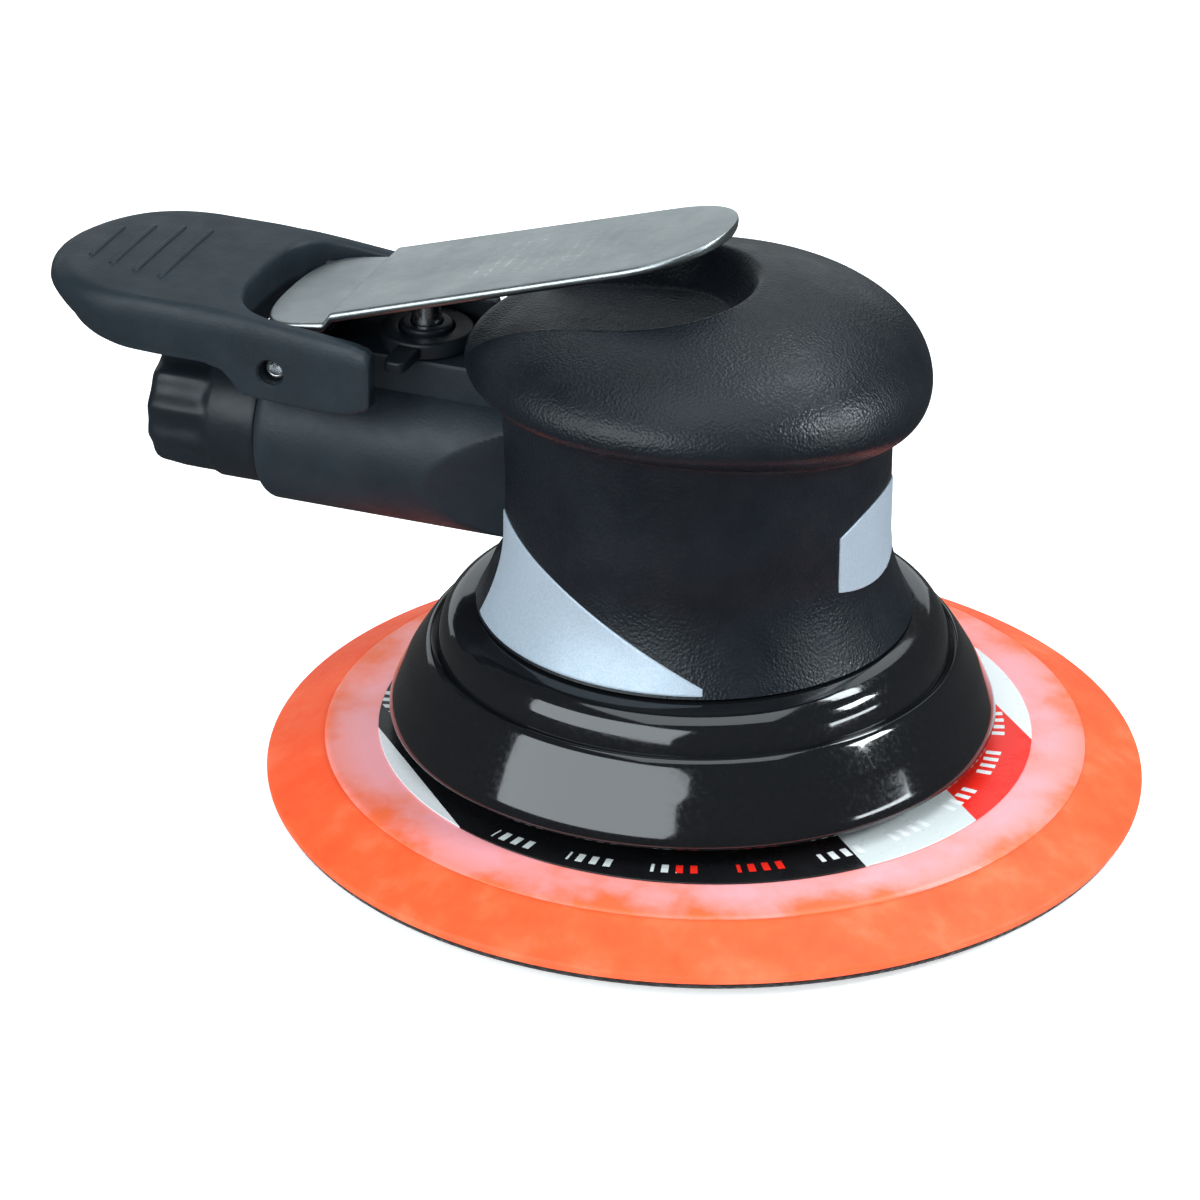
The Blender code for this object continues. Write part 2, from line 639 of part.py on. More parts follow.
def lever_half(x):
    """Half the lever's width: squared-off rear with round corners, round tip, slight taper."""
    rear = (x - LEVER_REAR) / 9.0
    tip = (LEVER_TIP - x) / LEVER_HALF
    half = LEVER_HALF - LEVER_TAPER * float(np.clip((x + 62.0) / 57.0, 0.0, 1.0))
    if rear < 1.0:
        half *= max(1.0 - (1.0 - rear) ** 3, 0.0) ** (1.0 / 3.0)
    if tip < 1.0:
        half *= max(1.0 - (1.0 - tip) ** 2.2, 0.0) ** (1.0 / 2.2)
    return max(half, 1.6)


LEVER_AT = (PIVOT_X, 0.0, PIVOT_Z)
lever_rings = []
rear_places = [LEVER_REAR + 9.0 * (1.0 - math.cos(a)) for a in np.linspace(0.15, 1.5, 6)]
tip_places = [LEVER_TIP - 15.6 * (1.0 - math.cos(a)) for a in np.linspace(1.5, 0.15, 8)]
jog_places = [LEVER_JOG + LEVER_JOG_HALF * t for t in (-1.0, -0.5, 0.0, 0.5, 1.0)]
for x in rear_places + jog_places + [-45.0, -30.0, -18.0] + tip_places:
    half = lever_half(x)
    z = lever_height(x)
    t = LEVER_T / 2.0
    lever_rings.append([(x, -half, z - t), (x, half, z - t), (x, half, z + t), (x, -half, z + t)])
lever = loft("throttle_lever", lever_rings, "satin_steel", LEVER_AT)
lever_ears = []
for side, low_y, high_y in (("near", -LEVER_HALF + 0.4, -LEVER_HALF + 2.0),
                            ("far", LEVER_HALF - 2.0, LEVER_HALF - 0.4)):
    ear = [(PIVOT_X + 4.2 * math.cos(a), PIVOT_Z + 4.2 * math.sin(a))
           for a in np.linspace(-math.pi, 0.0, 9)]
    ear = [(PIVOT_X - 4.2, 79.0)] + ear + [(PIVOT_X + 4.2, 80.2)]
    lever_ears.append(side_prism(f"add_lever_ear_{side}", ear, low_y, high_y, None))
add(lever, *lever_ears)
cut(lever, pin_through)
lathe("lever_pin", [(0.0, -18.9), (PIN_R - 0.3, -18.9), (PIN_R, -18.5), (PIN_R, 18.5),
                    (PIN_R - 0.3, 18.9), (0.0, 18.9)], "bright_steel", LEVER_AT, "Y", 20)

# ---------------------------------------------------------------- wrist rest

REST_STATIONS = [
    # x, top, low edge
    (REST_REAR, 79.6, 78.4),
    (-118.0, 80.3, 77.6),
    (-117.2, 81.3, 76.8),
    (-115.5, 82.3, 75.7),
    (-112.5, 83.0, 74.6),
    (-108.0, 83.4, 73.8),
    (-102.5, 83.5, 73.1),
    (-94.0, 83.5, 72.6),
    (-84.0, 83.5, 72.6),
    (-79.0, 83.3, 72.4),
    (-76.2, 83.1, 69.0),
    (-75.0, 83.0, 68.3),
    (-68.0, 82.2, 67.8),
    (-60.0, 81.4, 67.6),
    (-54.0, 80.6, 68.2),
    (REST_FRONT, 78.8, 70.4),
]


def rest_half(x):
    """Half the rest's width: half an ellipse round the tail, straight arms, cut back at the tip."""
    past = min(max(REST_REAR + REST_TAIL - x, 0.0) / REST_TAIL, 1.0)
    tip = 1.4 if x == REST_FRONT else 0.0
    return max(REST_HALF * math.sqrt(1.0 - past**2), 2.0) - tip


def rest_section(x, top, low):
    """A rounded slab section: full edges, softened corners, narrower below behind the arms."""
    middle = (top + low) / 2.0
    reach = (top - low) / 2.0
    tuck = 0.15 * float(smooth_step(-x, 76.0, 80.0))
    ring = []
    for a in np.arange(24) * 2.0 * math.pi / 24 + math.pi / 24:
        c = math.cos(a)
        s = math.sin(a)
        y = rest_half(x) * math.copysign(abs(c) ** 0.38, c) * (1.0 + tuck * min(s, 0.0))
        z = middle + reach * math.copysign(abs(s) ** 0.55, s)
        ring.append((x, y, z))
    return ring


rest = loft("wrist_rest", [rest_section(*station) for station in REST_STATIONS], "slate_plastic")


def fork_slot(half, rear, front, corner, power):
    """Plan of the slot: a squared-off rear with round corners, open at the front."""
    outline = []
    for a in np.linspace(math.pi / 2.0, 3.0 * math.pi / 2.0, 15):
        c = abs(math.cos(a)) ** power
        s = math.copysign(abs(math.sin(a)) ** power, math.sin(a))
        outline.append((rear + corner * (1.0 - c), half * s))
    return outline + [(front, -half), (front, half)]


slot_cut = prism("cut_rest_slot", fork_slot(SLOT_HALF, -79.8, -48.0, 11.0, 0.66), 60.0, 90.0,
                 None)
under_cut = prism("cut_rest_underside", fork_slot(SLOT_HALF - 2.0, -114.4, -76.0, 16.0, 1.0),
                  60.0, 77.6, None)
pin_window = lathe("cut_pin_window", [(0.0, -24.0), (PIN_R + 0.15, -24.0), (PIN_R + 0.15, 24.0),
                                      (0.0, 24.0)], None, LEVER_AT, "Y", 24)
cut(rest, slot_cut, under_cut, pin_window)

# ---------------------------------------------------------------- palm grip

GRIP_STEPS = 48
grip_outer = grip_rings(GRIP_STEPS)
grip_bore = [[(GRIP_BORE_R * math.cos(a), GRIP_BORE_R * math.sin(a), z)
              for a in np.arange(GRIP_STEPS) * 2.0 * math.pi / GRIP_STEPS]
             for z in (78.3, 34.4)]
crown = [[(28.6 * math.cos(a), 28.6 * math.sin(a), BARREL_TOP + GAP)
          for a in np.arange(GRIP_STEPS) * 2.0 * math.pi / GRIP_STEPS]]
grip_points = []
for ring in grip_outer + [[(0.0, 0.0, CROWN_Z)]] + [[(0.0, 0.0, BARREL_TOP + GAP)]] + crown + grip_bore:
    grip_points.append(ring)
flat_points = []
row_start = []
for ring in grip_points:
    row_start.append((len(flat_points), len(ring)))
    flat_points += list(ring)
grip_faces = []
chain = list(range(len(grip_points))) + [0]
for low_row, high_row in zip(chain, chain[1:]):
    (a0, a_len), (b0, b_len) = row_start[low_row], row_start[high_row]
    for j in range(GRIP_STEPS):
        k = (j + 1) % GRIP_STEPS
        if a_len == 1 and b_len == 1:
            continue
        if b_len == 1:
            grip_faces.append((a0 + j, a0 + k, b0))
        elif a_len == 1:
            grip_faces.append((a0, b0 + k, b0 + j))
        else:
            grip_faces.append((a0 + j, a0 + k, b0 + k, b0 + j))
grip = place("palm_grip", flat_points, grip_faces, "soft_black")

CHANNEL_PLAN = []
for a in np.linspace(math.pi / 2.0, -math.pi / 2.0, 13):
    CHANNEL_PLAN.append((CHANNEL_END - 15.0 + 15.0 * math.cos(a), CHANNEL_HALF * math.sin(a)))
CHANNEL_PLAN += [(-60.0, -CHANNEL_HALF), (-60.0, CHANNEL_HALF)]


def channel_floor(x):
    """The channel's floor, rising gently towards its closed end."""
    return 81.6 + 0.11 * (max(x, -35.0) + 35.0)


channel_rings = [[(x, y, channel_floor(x)) for x, y in CHANNEL_PLAN],
                 [(x * 1.02, y * 1.03, 100.0) for x, y in CHANNEL_PLAN]]
channel_cut = loft("cut_lever_channel", channel_rings, None)
neck_clear = loft("cut_neck_clearance", [neck_section(x, GAP) for x in neck_places[:-1]], None)
cut(grip, channel_cut, neck_clear)

# ---------------------------------------------------------------- skirt

lathe("skirt",
      [(49.9, 13.2), (52.5, 13.2), (51.4, 17.7), (49.5, 21.8), (46.9, 25.6), (45.6, 27.2),
       (44.6, 27.3), (43.9, 28.9), (42.4, 32.0), (39.6, 33.6), (31.4, 34.1), (31.4, 30.6),
       (39.0, 30.3), (41.4, 28.2), (43.0, 25.0), (46.9, 20.6), (48.8, 17.0)],
      "gloss_black", steps=52)

# ---------------------------------------------------------------- inlays on the grip

INLAY_LOW = 35.2


def inlay(name, centre, half_sweep, low_of, high_of, columns=13, rows=5):
    """A thin shell on the grip: low_of and high_of give its edges across the sweep."""
    outer = []
    inner = []
    for i in range(columns):
        across = -1.0 + 2.0 * i / (columns - 1)
        theta = centre + half_sweep * across
        low = low_of(across)
        high = high_of(across)
        for j in range(rows):
            z = low + (high - low) * j / (rows - 1)
            r = grip_radius(theta, z)
            inner.append(((r + 0.12) * math.cos(theta), (r + 0.12) * math.sin(theta), z))
            outer.append(((r + 0.5) * math.cos(theta), (r + 0.5) * math.sin(theta), z))
    count = columns * rows
    faces = []
    for i in range(columns - 1):
        for j in range(rows - 1):
            a = i * rows + j
            quad = (a, a + rows, a + rows + 1, a + 1)
            faces.append(quad)
            faces.append(tuple(count + q for q in quad[::-1]))
    edge = [i * rows for i in range(columns)]
    edge += [(columns - 1) * rows + j for j in range(1, rows)]
    edge += [i * rows + rows - 1 for i in range(columns - 2, -1, -1)]
    edge += [j for j in range(rows - 2, 0, -1)]
    for a, b in zip(edge, edge[1:] + edge[:1]):
        faces.append((a, b, count + b, count + a))
    return place(name, outer + inner, faces, "silver_inlay")


def swoosh_top(across):
    """Upper edge of a side swoosh: high beside the handle, dying out towards the front."""
    t = (across + 1.0) / 2.0
    return 54.0 - 18.0 * t**1.45


# Each swoosh runs from beside the handle (across = -1) to just forward of the side.
SWOOSH_MIDDLE = math.radians(108.5)
SWOOSH_HALF = math.radians(40.5)
inlay("right_swoosh", -SWOOSH_MIDDLE, SWOOSH_HALF, lambda t: INLAY_LOW, swoosh_top)
inlay("left_swoosh", SWOOSH_MIDDLE, -SWOOSH_HALF, lambda t: INLAY_LOW, swoosh_top)
inlay("front_badge", 0.0, math.radians(24.0),
      lambda t: 45.5 + 2.0 * t * t, lambda t: 60.5 - 3.0 * t * t, 9, 4)
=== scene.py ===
"""Looks of the palm-grip air sander: finished surfaces for its pieces, studio light and camera.

Sizes are in millimetres until a mesh is made. The motor axis is X = Y = 0 and the handle runs along -X.
"""

import math

import bmesh
import bpy
import numpy as np
from mathutils import Matrix, Vector


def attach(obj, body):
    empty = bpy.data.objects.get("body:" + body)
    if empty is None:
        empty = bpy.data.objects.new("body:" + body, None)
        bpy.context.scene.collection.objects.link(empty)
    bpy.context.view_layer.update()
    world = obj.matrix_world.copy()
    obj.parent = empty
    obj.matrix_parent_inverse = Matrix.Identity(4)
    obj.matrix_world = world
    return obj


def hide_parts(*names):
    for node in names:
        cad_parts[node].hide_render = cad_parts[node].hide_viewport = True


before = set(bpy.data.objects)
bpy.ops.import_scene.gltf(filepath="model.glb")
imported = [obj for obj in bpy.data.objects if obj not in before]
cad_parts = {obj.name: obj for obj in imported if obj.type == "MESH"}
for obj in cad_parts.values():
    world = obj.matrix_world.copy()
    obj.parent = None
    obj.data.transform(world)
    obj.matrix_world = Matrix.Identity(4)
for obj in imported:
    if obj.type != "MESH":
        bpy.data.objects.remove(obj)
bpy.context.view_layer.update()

MM = 0.001
WELD = 2.0e-6
TURN = 2.0 * math.pi

# Pad
ORBIT = 2.38
PAD_AT = (ORBIT, 0.0, 0.0)
PAD_R = 76.0
LABEL_R = 56.6

# Grip
FOOT_Z = 34.4
WAIST_R = 33.1
FLARE = 4.4
FLARE_TOP = 50.0
BULGE_R = 39.5
CROWN_Z = 94.2
CHANNEL_HALF = 15.2
CHANNEL_END = 4.8
CHANNEL_WALL = 5.0
CHANNEL_RIM = 1.5
INLAY_LIFT = 0.25
SWOOSH_AT = math.radians(108.5)
SWOOSH_SWEEP = math.radians(40.5)
SWOOSH_FOOT = 34.9
BADGE_SWEEP = math.radians(24.0)

# Handle, valve line, lever and rest
TUBE_Z = 55.7
TUBE_R = 14.3
COLLAR_R = 12.0
VALVE_AT = (-49.5, 0.0, 0.0)
BLOCK_NEAR = -7.6
BLOCK_FAR = 12.5
BLOCK_TOP = 74.2
TUBE_END = -76.7
TUBE_ROUND = 2.2
PIVOT_X = -70.0
PIVOT_Z = 73.3
LEVER_AT = (PIVOT_X, 0.0, PIVOT_Z)
LEVER_HALF = 15.6
LEVER_TAPER = 1.0
LEVER_T = 1.8
LEVER_EDGE = 0.8
LEVER_REAR = -75.2
LEVER_TIP = 5.5
JOG_START = -62.6
JOG_END = -60.6
HINGE_SLOPE = math.tan(math.radians(9.6))
BLADE_SLOPE = math.tan(math.radians(17.3))
REST_HALF = 20.3
REST_TAIL_X = -98.0
REST_TAIL = 20.3
SLOT_HALF = 17.0
SLOT_END_X = -68.8

# ---------------------------------------------------------------- building surfaces


def weave(rows, columns, round_rows=False, round_columns=False):
    """Quads between neighbours of a grid: corner (i, j) joins (i, j+1), (i+1, j+1) and (i+1, j)."""
    i = np.arange(rows if round_rows else rows - 1)[:, None]
    j = np.arange(columns if round_columns else columns - 1)[None, :]
    below = (i + 1) % rows
    beside = (j + 1) % columns
    corners = (i * columns + j, i * columns + beside, below * columns + beside, below * columns + j)
    return np.stack(np.broadcast_arrays(*corners), -1).reshape(-1, 4)


def sheet_of(grid, round_rows=False, round_columns=False):
    """A grid of points as one shell: its points in a list, and its quads."""
    rows, columns, _ = grid.shape
    return grid.reshape(-1, 3), weave(rows, columns, round_rows, round_columns)


def dress(mesh, crisp):
    """Smooth shading, but a fold sharper than the crisp angle stays an edge."""
    mesh.polygons.foreach_set("use_smooth", np.ones(len(mesh.polygons), bool))
    mesh.set_sharp_from_angle(angle=math.radians(crisp))


def welded_object(name, shells):
    """A linked object from shells of points and quads, doubled points welded and faces turned out."""
    starts = np.cumsum([0] + [len(points) for points, _ in shells[:-1]])
    points = np.concatenate([points for points, _ in shells]) * MM
    quads = np.concatenate([quads + start for (_, quads), start in zip(shells, starts)])
    mesh = bpy.data.meshes.new(name)
    mesh.from_pydata(points.tolist(), [], quads.tolist())
    shape = bmesh.new()
    shape.from_mesh(mesh)
    bmesh.ops.remove_doubles(shape, verts=shape.verts, dist=WELD)
    bmesh.ops.recalc_face_normals(shape, faces=shape.faces)
    shape.to_mesh(mesh)
    shape.free()
    made = bpy.data.objects.new(name, mesh)
    bpy.context.scene.collection.objects.link(made)
    return made


def finish_piece(name, shells, look, body, stands_for=(), crisp=38.0):
    """One piece from its shells, with its finish, the body it rides on and the nodes it stands for."""
    piece = welded_object(name, shells)
    dress(piece.data, crisp)
    piece.data.materials.append(look)
    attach(piece, body)
    if stands_for:
        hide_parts(*stands_for)
    return piece


def bore_out(piece, shells, crisp):
    """Cuts closed shells out of a piece with an exact Boolean, and keeps the result as its mesh."""
    cutter = welded_object("cutter", shells)
    modifier = piece.modifiers.new("bore", "BOOLEAN")
    modifier.operation = "DIFFERENCE"
    modifier.solver = "EXACT"
    modifier.object = cutter
    graph = bpy.context.evaluated_depsgraph_get()
    result = bpy.data.meshes.new_from_object(piece.evaluated_get(graph))
    piece.modifiers.clear()
    piece.data = result
    bpy.data.objects.remove(cutter)
    dress(result, crisp)


def soften(profile, radius, steps=6, closed=True):
    """A profile with its corners rounded.

    Each corner becomes the parabola between two points that lie one radius along its two sides,
    or nearly half way where a side is short.
    """
    corner = np.asarray(profile, float)
    back = np.roll(corner, 1, 0) - corner
    ahead = np.roll(corner, -1, 0) - corner
    ends = []
    for side in (back, ahead):
        length = np.maximum(np.linalg.norm(side, axis=1), 1.0e-6)[:, None]
        ends.append(corner + side / length * np.minimum(radius, 0.45 * length))
    t = np.linspace(0.0, 1.0, steps)[None, :, None]
    curve = (1.0 - t) ** 2 * ends[0][:, None] + 2.0 * t * (1.0 - t) * corner[:, None]
    curve = curve + t**2 * ends[1][:, None]
    if not closed:
        curve[0] = corner[0]
        curve[-1] = corner[-1]
    return curve.reshape(-1, corner.shape[1])


def spread(line, longest):
    """The same line with points added along its length, so that no span passes the longest."""
    run = np.concatenate([[0.0], np.cumsum(np.linalg.norm(np.diff(line, axis=0), axis=1))])
    stops = np.union1d(run, np.arange(0.0, run[-1], longest))
    return np.column_stack([np.interp(stops, run, column) for column in line.T])


def along(line, share):
    """Points at given shares of a line's length."""
    run = np.concatenate([[0.0], np.cumsum(np.linalg.norm(np.diff(line, axis=0), axis=1))])
    return np.column_stack([np.interp(share * run[-1], run, column) for column in line.T])


def turn_axis(points, axis):
    """Carries points drawn about Z so that their axis lies on X, Y or Z."""
    order = {"Z": (0, 1, 2), "X": (2, 0, 1), "Y": (1, 2, 0)}[axis]
    return points[..., list(order)]


def turned(profile, at=(0.0, 0.0, 0.0), axis="Z", corner=0.4, steps=144, span=2.0):
    """A turned shell: every profile point (radius, height) becomes (r cos a, r sin a, h).

    Corners are rounded first. A profile that starts and ends on the axis closes in poles, and any
    other closes on itself.
    """
    line = np.asarray(profile, float)
    poles = line[0, 0] == 0.0 and line[-1, 0] == 0.0
    line = soften(line, corner, closed=not poles)
    if not poles:
        line = np.vstack([line, line[:1]])
    line = spread(line, span)
    if not poles:
        line = line[:-1]
    angle = np.linspace(0.0, TURN, steps, endpoint=False)[None, :]
    radius = line[:, 0][:, None]
    height = line[:, 1][:, None] + 0.0 * angle
    grid = np.stack([radius * np.cos(angle), radius * np.sin(angle), height], -1)
    return sheet_of(turn_axis(grid, axis) + np.asarray(at), not poles, True)


def slab(outline, low, high, axis="Z", edge=0.3, steps=5):
    """A flat outline with thickness and rounded edges.

    Each row is the outline drawn in towards its middle by edge (1 - sin a) at a level edge
    (1 - cos a) from the face, and the faces close at the middle.
    """
    outline = np.asarray(outline, float)
    middle = outline.mean(0)
    reach = np.linalg.norm(outline - middle, axis=1).min()
    a = np.linspace(0.0, math.pi / 2.0, steps)
    scale = 1.0 - edge * (1.0 - np.sin(a)) / reach
    rise = edge * (1.0 - np.cos(a))
    scale = np.concatenate([[0.0], scale, scale[::-1], [0.0]])
    level = np.concatenate([[low], low + rise, high - rise[::-1], [high]])
    flat = middle + (outline - middle)[None] * scale[:, None, None]
    grid = np.concatenate([flat, np.broadcast_to(level[:, None, None], (*flat.shape[:2], 1))], -1)
    order = {"Z": [0, 1, 2], "Y": [0, 2, 1]}[axis]
    return sheet_of(grid[..., order], False, True)


def ease(value, low, high):
    """Eases from 0 at low to 1 at high: t t (3 - 2 t)."""
    t = np.clip((value - low) / (high - low), 0.0, 1.0)
    return t * t * (3.0 - 2.0 * t)


def soft_least(a, b, blend):
    """The lesser of two heights, with the corner between them rounded over the blend distance."""
    h = np.clip(0.5 + 0.5 * (b - a) / blend, 0.0, 1.0)
    return b + (a - b) * h - blend * h * (1.0 - h)


# ---------------------------------------------------------------- finishes


class Finish:
    """A node material for one finish, read in object coordinates."""

    def __init__(self, name, colour, roughness, metallic=0.0):
        self.material = bpy.data.materials.new(name)
        self.material.use_nodes = True
        self.nodes = self.material.node_tree.nodes
        self.links = self.material.node_tree.links
        self.shader = self.nodes["Principled BSDF"]
        self.shader.inputs["Base Color"].default_value = (*colour, 1.0)
        self.shader.inputs["Roughness"].default_value = roughness
        self.shader.inputs["Metallic"].default_value = metallic
        self.material.diffuse_color = (*colour, 1.0)
        self.place = self.nodes.new("ShaderNodeTexCoord").outputs["Object"]
        self.normal = None

    def set(self, **sockets):
        """Sets uniform values straight on the shader."""
        for socket, value in sockets.items():
            self.shader.inputs[socket.replace("_", " ")].default_value = value
        return self

    def stretch(self, scale, turn=(0.0, 0.0, 0.0), shift=(0.0, 0.0, 0.0)):
        """Object coordinates stretched, turned and shifted by a Mapping node."""
        node = self.nodes.new("ShaderNodeMapping")
        node.inputs["Scale"].default_value = scale
        node.inputs["Rotation"].default_value = turn
        node.inputs["Location"].default_value = shift
        self.links.new(self.place, node.inputs["Vector"])
        return node.outputs["Vector"]

    def noise(self, size, detail=3.0, rough=0.55, vector=None):
        """Cloudy noise whose patches are about size millimetres."""
        node = self.nodes.new("ShaderNodeTexNoise")
        node.inputs["Scale"].default_value = 1000.0 / size
        node.inputs["Detail"].default_value = detail
        node.inputs["Roughness"].default_value = rough
        self.links.new(vector or self.place, node.inputs["Vector"])
        return node.outputs["Fac"]

    def cells(self, size, vector=None):
        """Rounded cells about size millimetres across, high in the middle of each."""
        node = self.nodes.new("ShaderNodeTexVoronoi")
        node.feature = "SMOOTH_F1"
        node.inputs["Scale"].default_value = 1000.0 / size
        node.inputs["Smoothness"].default_value = 0.6
        self.links.new(vector or self.place, node.inputs["Vector"])
        return node.outputs["Distance"]

    def spans(self, value, low, high, to_low, to_high):
        """Maps low..high of a value to another span, held at its ends."""
        node = self.nodes.new("ShaderNodeMapRange")
        for socket, number in zip(("From Min", "From Max", "To Min", "To Max"), (low, high, to_low, to_high)):
            node.inputs[socket].default_value = number
        self.links.new(value, node.inputs["Value"])
        return node.outputs["Result"]

    def maths(self, operation, a, b):
        """One sum on two values or numbers."""
        node = self.nodes.new("ShaderNodeMath")
        node.operation = operation
        for socket, value in zip(node.inputs, (a, b)):
            if isinstance(value, (int, float)):
                socket.default_value = value
            else:
                self.links.new(value, socket)
        return node.outputs["Value"]

    def ramp(self, value, stops, stepped=False):
        """Colours along a value; stepped gives flat bands."""
        node = self.nodes.new("ShaderNodeValToRGB")
        node.color_ramp.interpolation = "CONSTANT" if stepped else "LINEAR"
        elements = node.color_ramp.elements
        while len(elements) < len(stops):
            elements.new(1.0)
        for element, (position, colour) in zip(elements, stops):
            element.position = position
            element.color = (*colour, 1.0)
        self.links.new(value, node.inputs["Fac"])
        return node.outputs["Color"]

    def millimetres(self, **placing):
        """X and Y of the object coordinates, in millimetres."""
        split = self.nodes.new("ShaderNodeSeparateXYZ")
        self.links.new(self.stretch((1000.0,) * 3, **placing), split.inputs["Vector"])
        return split.outputs["X"], split.outputs["Y"]

    def away(self, x, y):
        """Distance from an axis: the root of x squared and y squared."""
        return self.maths("POWER", self.maths("ADD", self.maths("MULTIPLY", x, x), self.maths("MULTIPLY", y, y)), 0.5)

    def colour(self, value):
        """Sends a colour to the shader's base."""
        self.links.new(value, self.shader.inputs["Base Color"])
        return self

    def gloss(self, value):
        """Sends a value to the shader's roughness."""
        self.links.new(value, self.shader.inputs["Roughness"])
        return self

    def raise_by(self, value, depth, strength=1.0):
        """Adds relief: the value's height times depth millimetres, on top of relief already there."""
        node = self.nodes.new("ShaderNodeBump")
        node.inputs["Strength"].default_value = strength
        node.inputs["Distance"].default_value = depth * MM
        self.links.new(value, node.inputs["Height"])
        if self.normal:
            self.links.new(self.normal, node.inputs["Normal"])
        self.normal = node.outputs["Normal"]
        self.links.new(self.normal, self.shader.inputs["Normal"])
        return self


def moulded(name, light, dark, roughness, grain, depth, spread_by=0.08):
    """Moulded plastic: spark-eroded grain, faint cloudy colour and handling marks in its gloss."""
    made = Finish(name, light, roughness)
    clouds = made.noise(14.0, 4.0)
    fine = made.cells(grain)
    made.colour(made.ramp(made.spans(clouds, 0.35, 0.65, 0.0, 1.0), [(0.0, dark), (1.0, light)]))
    made.gloss(made.spans(made.noise(6.0, 5.0), 0.3, 0.7, roughness - spread_by, roughness + spread_by))
    made.raise_by(fine, depth, 0.9)
    made.raise_by(made.noise(grain * 0.5, 2.0), depth * 0.5, 0.7)
    return made


def grip_rubber():
    """Palm grip: blue-black rubber with a fine leathery grain that sparkles in the highlights."""
    made = moulded("grip_rubber", (0.0065, 0.0095, 0.0135), (0.0045, 0.0065, 0.0095), 0.36, 0.5, 0.10)
    return made.set(Specular_IOR_Level=0.3).material


def slate_plastic():
    """Rest and handle: dark slate plastic, matt and finely sparked."""
    made = moulded("slate_plastic", (0.013, 0.021, 0.028), (0.009, 0.015, 0.021), 0.50, 0.5, 0.03)
    return made.set(Specular_IOR_Level=0.3).material


def collar_plastic():
    """Muffler collar and regulator: near-black plastic with soft handling wear."""
    made = moulded("collar_plastic", (0.009, 0.013, 0.017), (0.006, 0.009, 0.012), 0.40, 0.9, 0.02)
    return made.set(Specular_IOR_Level=0.3).material


def skirt_gloss():
    """Skirt: polished black with faint dust and mould ripple."""
    made = Finish("skirt_gloss", (0.006, 0.0068, 0.008), 0.10)
    dust = made.noise(0.8, 6.0, 0.7)
    made.gloss(made.spans(dust, 0.45, 0.75, 0.07, 0.2))
    made.colour(made.ramp(made.spans(dust, 0.55, 0.8, 0.0, 1.0),
                          [(0.0, (0.0055, 0.0062, 0.0074)), (1.0, (0.012, 0.013, 0.015))]))
    made.raise_by(made.noise(9.0, 1.0), 0.03, 0.35)
    return made.set(Coat_Weight=0.35, Coat_Roughness=0.05).material


def lever_steel():
    """Lever: satin steel brushed along its length, with faint etched rows on the blade."""
    made = Finish("lever_steel", (0.36, 0.39, 0.40), 0.36, 1.0)
    brushed = made.noise(0.5, 3.0, 0.6, made.stretch((0.035, 1.0, 1.0)))
    clouds = made.noise(9.0, 4.0)
    # Faint etched rows: short marks across the blade, broken up by noise.
    x, y = made.millimetres()
    row = made.maths("LESS_THAN", made.maths("FRACT", made.maths("DIVIDE", x, 2.6), 0.0), 0.3)
    from_middle = made.maths("ABSOLUTE", made.maths("ADD", x, 27.0), 0.0)
    inside = made.maths("MULTIPLY", made.maths("LESS_THAN", made.maths("ABSOLUTE", y, 0.0), 8.0),
                        made.maths("LESS_THAN", from_middle, 13.0))
    broken = made.maths("GREATER_THAN", made.noise(0.9, 1.0), 0.52)
    etched = made.maths("MULTIPLY", made.maths("MULTIPLY", row, inside), broken)
    tone = made.maths("ADD", made.spans(clouds, 0.3, 0.7, 0.0, 0.7), made.maths("MULTIPLY", etched, 0.3))
    made.colour(made.ramp(tone, [(0.0, (0.32, 0.355, 0.365)), (0.7, (0.44, 0.47, 0.47)), (1.0, (0.62, 0.65, 0.65))]))
    made.gloss(made.spans(brushed, 0.3, 0.7, 0.28, 0.42))
    made.raise_by(brushed, 0.012, 0.6)
    return made.set(Anisotropic=0.35).material


def turned_metal(name, light, dark, roughness, size=0.6):
    """Machined metal: tool marks in gloss and relief, slight staining in colour."""
    made = Finish(name, light, roughness, 1.0)
    marks = made.noise(size, 4.0, 0.6)
    made.colour(made.ramp(made.spans(made.noise(7.0, 4.0), 0.3, 0.7, 0.0, 1.0), [(0.0, dark), (1.0, light)]))
    made.gloss(made.spans(marks, 0.3, 0.7, roughness - 0.06, roughness + 0.08))
    made.raise_by(marks, 0.008, 0.5)
    return made.material


def silver_inlay():
    """Swooshes and front badge: satin silver lacquer with a fine metallic fleck."""
    made = Finish("silver_inlay", (0.44, 0.52, 0.60), 0.42, 0.25)
    fleck = made.cells(0.35)
    made.colour(made.ramp(made.spans(fleck, 0.1, 0.7, 0.0, 1.0),
                          [(0.0, (0.39, 0.46, 0.53)), (1.0, (0.32, 0.39, 0.46))]))
    made.gloss(made.spans(made.noise(3.0, 4.0), 0.3, 0.7, 0.36, 0.48))
    made.raise_by(fleck, 0.012, 0.6)
    return made.material


def orange_foam():
    """Pad foam: fine open-cell urethane, orange with paler scuffs."""
    made = Finish("orange_foam", (0.95, 0.115, 0.018), 0.62)
    clouds = made.noise(11.0, 5.0, 0.6)
    pores = made.cells(0.8)
    made.colour(made.ramp(made.spans(clouds, 0.32, 0.7, 0.0, 1.0),
                          [(0.0, (0.95, 0.075, 0.008)), (0.6, (0.97, 0.105, 0.02)), (1.0, (0.98, 0.15, 0.05))]))
    made.gloss(made.spans(made.noise(2.0, 4.0), 0.3, 0.7, 0.5, 0.7))
    made.raise_by(pores, 0.05, 0.5)
    made.raise_by(made.noise(0.5, 3.0), 0.04, 0.5)
    return made.set(Sheen_Weight=0.02).material


